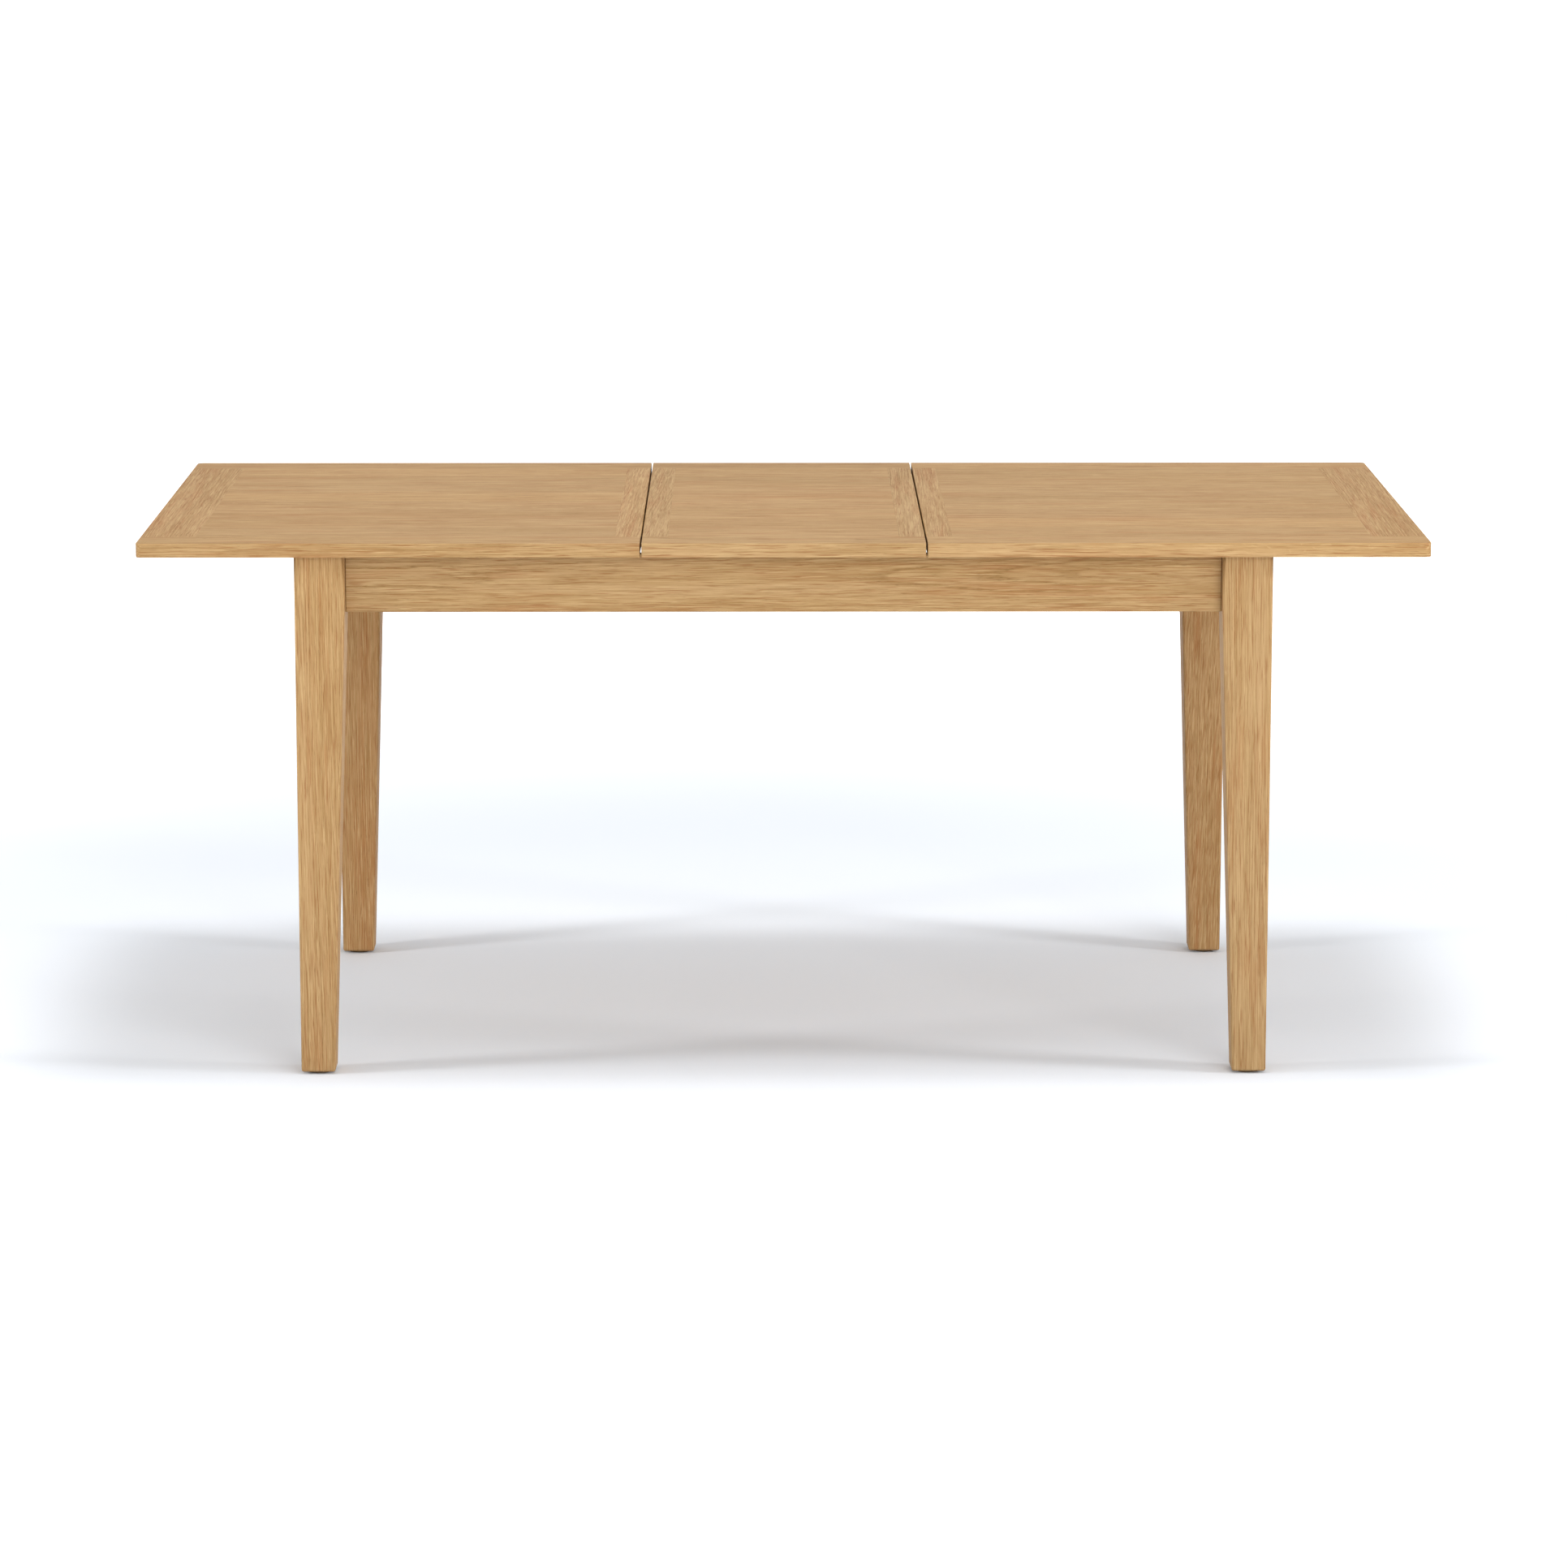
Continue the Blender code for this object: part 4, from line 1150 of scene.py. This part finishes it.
# Place, size and power in watts. The low, small lights at the ends draw the legs' shadows inward.
SOFTBOXES = {
    "top": ((0.3, -0.4, 6.0), (1.6, 1.6), 140),
    "left": ((-4.0, -1.2, 1.8), (0.6, 0.6), 58),
    "right": ((4.0, -1.2, 1.8), (0.6, 0.6), 58),
    "front": ((2.4, -6.5, 2.7), (4.0, 2.4), 212),
    "rear": ((0, 6.5, 3.2), (4.0, 2.4), 25),
}


def add_softbox(name, place, size, power):
    """A soft light that faces the middle of the table."""
    light = bpy.data.lights.new(name, "AREA")
    light.shape = "RECTANGLE"
    light.size, light.size_y = size
    light.energy = power
    lamp = bpy.data.objects.new(name, light)
    lamp.location = place
    lamp.rotation_euler = (LIT_POINT - Vector(place)).to_track_quat("-Z", "Y").to_euler()
    lamp.visible_camera = False
    bpy.context.scene.collection.objects.link(lamp)


def make_stage():
    """A white floor under a white sky, soft lights all round and the camera."""
    scene = bpy.context.scene
    settings = scene.stage_settings
    camera = bpy.data.cameras.new("camera")
    camera.lens = settings.lens
    camera.clip_end = settings.clip
    stand = bpy.data.objects.new("camera", camera)
    stand.location = (settings.aside, -settings.distance, settings.height)
    stand.rotation_euler = (math.pi / 2 - settings.pitch, 0, settings.turn)
    scene.collection.objects.link(stand)
    scene.camera = stand

    reach = settings.floor_reach
    bm = box_bmesh((-reach, -reach, -0.02), (reach, reach, 0))
    mesh = bpy.data.meshes.new("studio_floor")
    bm.to_mesh(mesh)
    bm.free()
    mesh.materials.append(white_paper(settings))
    floor = bpy.data.objects.new("studio_floor", mesh)
    scene.collection.objects.link(floor)

    # The sky lights the table more from overhead. The camera sees plain white.
    world = bpy.data.worlds.new("white_studio")
    world.use_nodes = True
    tree = world.node_tree
    place = add_node(tree, "ShaderNodeTexCoord", output="Generated")
    height = add_node(tree, "ShaderNodeSeparateXYZ", {0: place}, "Z")
    inputs = {0: height, 3: settings.horizon, 4: settings.zenith}
    strength = add_node(tree, "ShaderNodeMapRange", inputs)
    white = (1, 1, 1, 1)
    sky = add_node(tree, "ShaderNodeBackground", {"Color": white, "Strength": strength})
    seen = add_node(tree, "ShaderNodeBackground", {"Color": white, "Strength": 1.0})
    direct = add_node(tree, "ShaderNodeLightPath", output="Is Camera Ray")
    both = add_node(tree, "ShaderNodeMixShader", {0: direct, 1: sky, 2: seen})
    tree.links.new(both, tree.nodes["World Output"].inputs["Surface"])
    scene.world = world
    scene.view_settings.view_transform = "Standard"

    for name, (place, size, power) in SOFTBOXES.items():
        add_softbox(name + "_softbox", place, size, power)


# ---------------------------------------------------------------- the add-on


class DININGTABLE_OT_top(bpy.types.Operator):
    """Make the boards of both halves of the top and of the leaf"""

    bl_idname = "dining_table.top"
    bl_label = "Top boards"

    def execute(self, context):
        make_top()
        return {"FINISHED"}


class DININGTABLE_OT_legs(bpy.types.Operator):
    """Make the four tapered legs"""

    bl_idname = "dining_table.legs"
    bl_label = "Legs"

    def execute(self, context):
        make_legs()
        return {"FINISHED"}


class DININGTABLE_OT_aprons(bpy.types.Operator):
    """Make the two long aprons and the two end aprons"""

    bl_idname = "dining_table.aprons"
    bl_label = "Aprons"

    def execute(self, context):
        make_aprons()
        return {"FINISHED"}


class DININGTABLE_OT_joinery(bpy.types.Operator):
    """Make the beech corner blocks, guide rails, runners and centre bearer"""

    bl_idname = "dining_table.joinery"
    bl_label = "Rails, runners, bearer and blocks"

    def execute(self, context):
        make_joinery()
        return {"FINISHED"}


class DININGTABLE_OT_pegs(bpy.types.Operator):
    """Make the fluted pegs of the leaf"""

    bl_idname = "dining_table.pegs"
    bl_label = "Leaf pegs"

    def execute(self, context):
        make_pegs()
        return {"FINISHED"}


class DININGTABLE_OT_hanger_bolts(bpy.types.Operator):
    """Make the hanger bolts and their nuts"""

    bl_idname = "dining_table.hanger_bolts"
    bl_label = "Hanger bolts and nuts"

    def execute(self, context):
        make_hanger_bolts()
        return {"FINISHED"}


class DININGTABLE_OT_glides(bpy.types.Operator):
    """Make the glides under the legs"""

    bl_idname = "dining_table.glides"
    bl_label = "Foot glides"

    def execute(self, context):
        make_glides()
        return {"FINISHED"}


class DININGTABLE_OT_catches(bpy.types.Operator):
    """Make the catch levers and the keeper pins"""

    bl_idname = "dining_table.catches"
    bl_label = "Catches and keepers"

    def execute(self, context):
        make_catches()
        return {"FINISHED"}


class DININGTABLE_OT_screws(bpy.types.Operator):
    """Drive the wood screws and the catches' pivot screws"""

    bl_idname = "dining_table.screws"
    bl_label = "Screws"

    def execute(self, context):
        make_screws()
        return {"FINISHED"}


class DININGTABLE_OT_stage(bpy.types.Operator):
    """Make the floor, the lights and the camera"""

    bl_idname = "dining_table.stage"
    bl_label = "Stage"

    def execute(self, context):
        make_stage()
        return {"FINISHED"}


OPERATORS = (
    DININGTABLE_OT_stage,
    DININGTABLE_OT_top,
    DININGTABLE_OT_legs,
    DININGTABLE_OT_aprons,
    DININGTABLE_OT_joinery,
    DININGTABLE_OT_pegs,
    DININGTABLE_OT_hanger_bolts,
    DININGTABLE_OT_glides,
    DININGTABLE_OT_catches,
    DININGTABLE_OT_screws,
)


class DININGTABLE_PT_sidebar(bpy.types.Panel):
    """Sizes, colours and makers of the dining table"""

    bl_idname = "DININGTABLE_PT_sidebar"
    bl_label = "Dining table"
    bl_space_type = "VIEW_3D"
    bl_region_type = "UI"
    bl_category = "Dining table"

    def draw(self, context):
        for operator in OPERATORS:
            self.layout.operator(operator.bl_idname)
        for group in SETTINGS:
            box = self.layout.box()
            settings = getattr(context.scene, group)
            for name in settings.bl_rna.properties.keys():
                if name not in ("rna_type", "name"):
                    box.prop(settings, name)


SETTINGS = {
    "table_sizes": TableSizes,
    "table_colours": TableColours,
    "stage_settings": StageSettings,
}
CLASSES = (*SETTINGS.values(), *OPERATORS, DININGTABLE_PT_sidebar)


def register():
    """Adds the classes and the settings to Blender."""
    for cls in CLASSES:
        bpy.utils.register_class(cls)
    for name, group in SETTINGS.items():
        setattr(bpy.types.Scene, name, bpy.props.PointerProperty(type=group))


def unregister():
    """Takes the settings and the classes out of Blender."""
    for name in SETTINGS:
        delattr(bpy.types.Scene, name)
    for cls in reversed(CLASSES):
        bpy.utils.unregister_class(cls)


def main():
    """Makes the table piece by piece."""
    register()
    for operator in OPERATORS:
        section, name = operator.bl_idname.split(".")
        getattr(getattr(bpy.ops, section), name)()


if __name__ == "__main__":
    main()
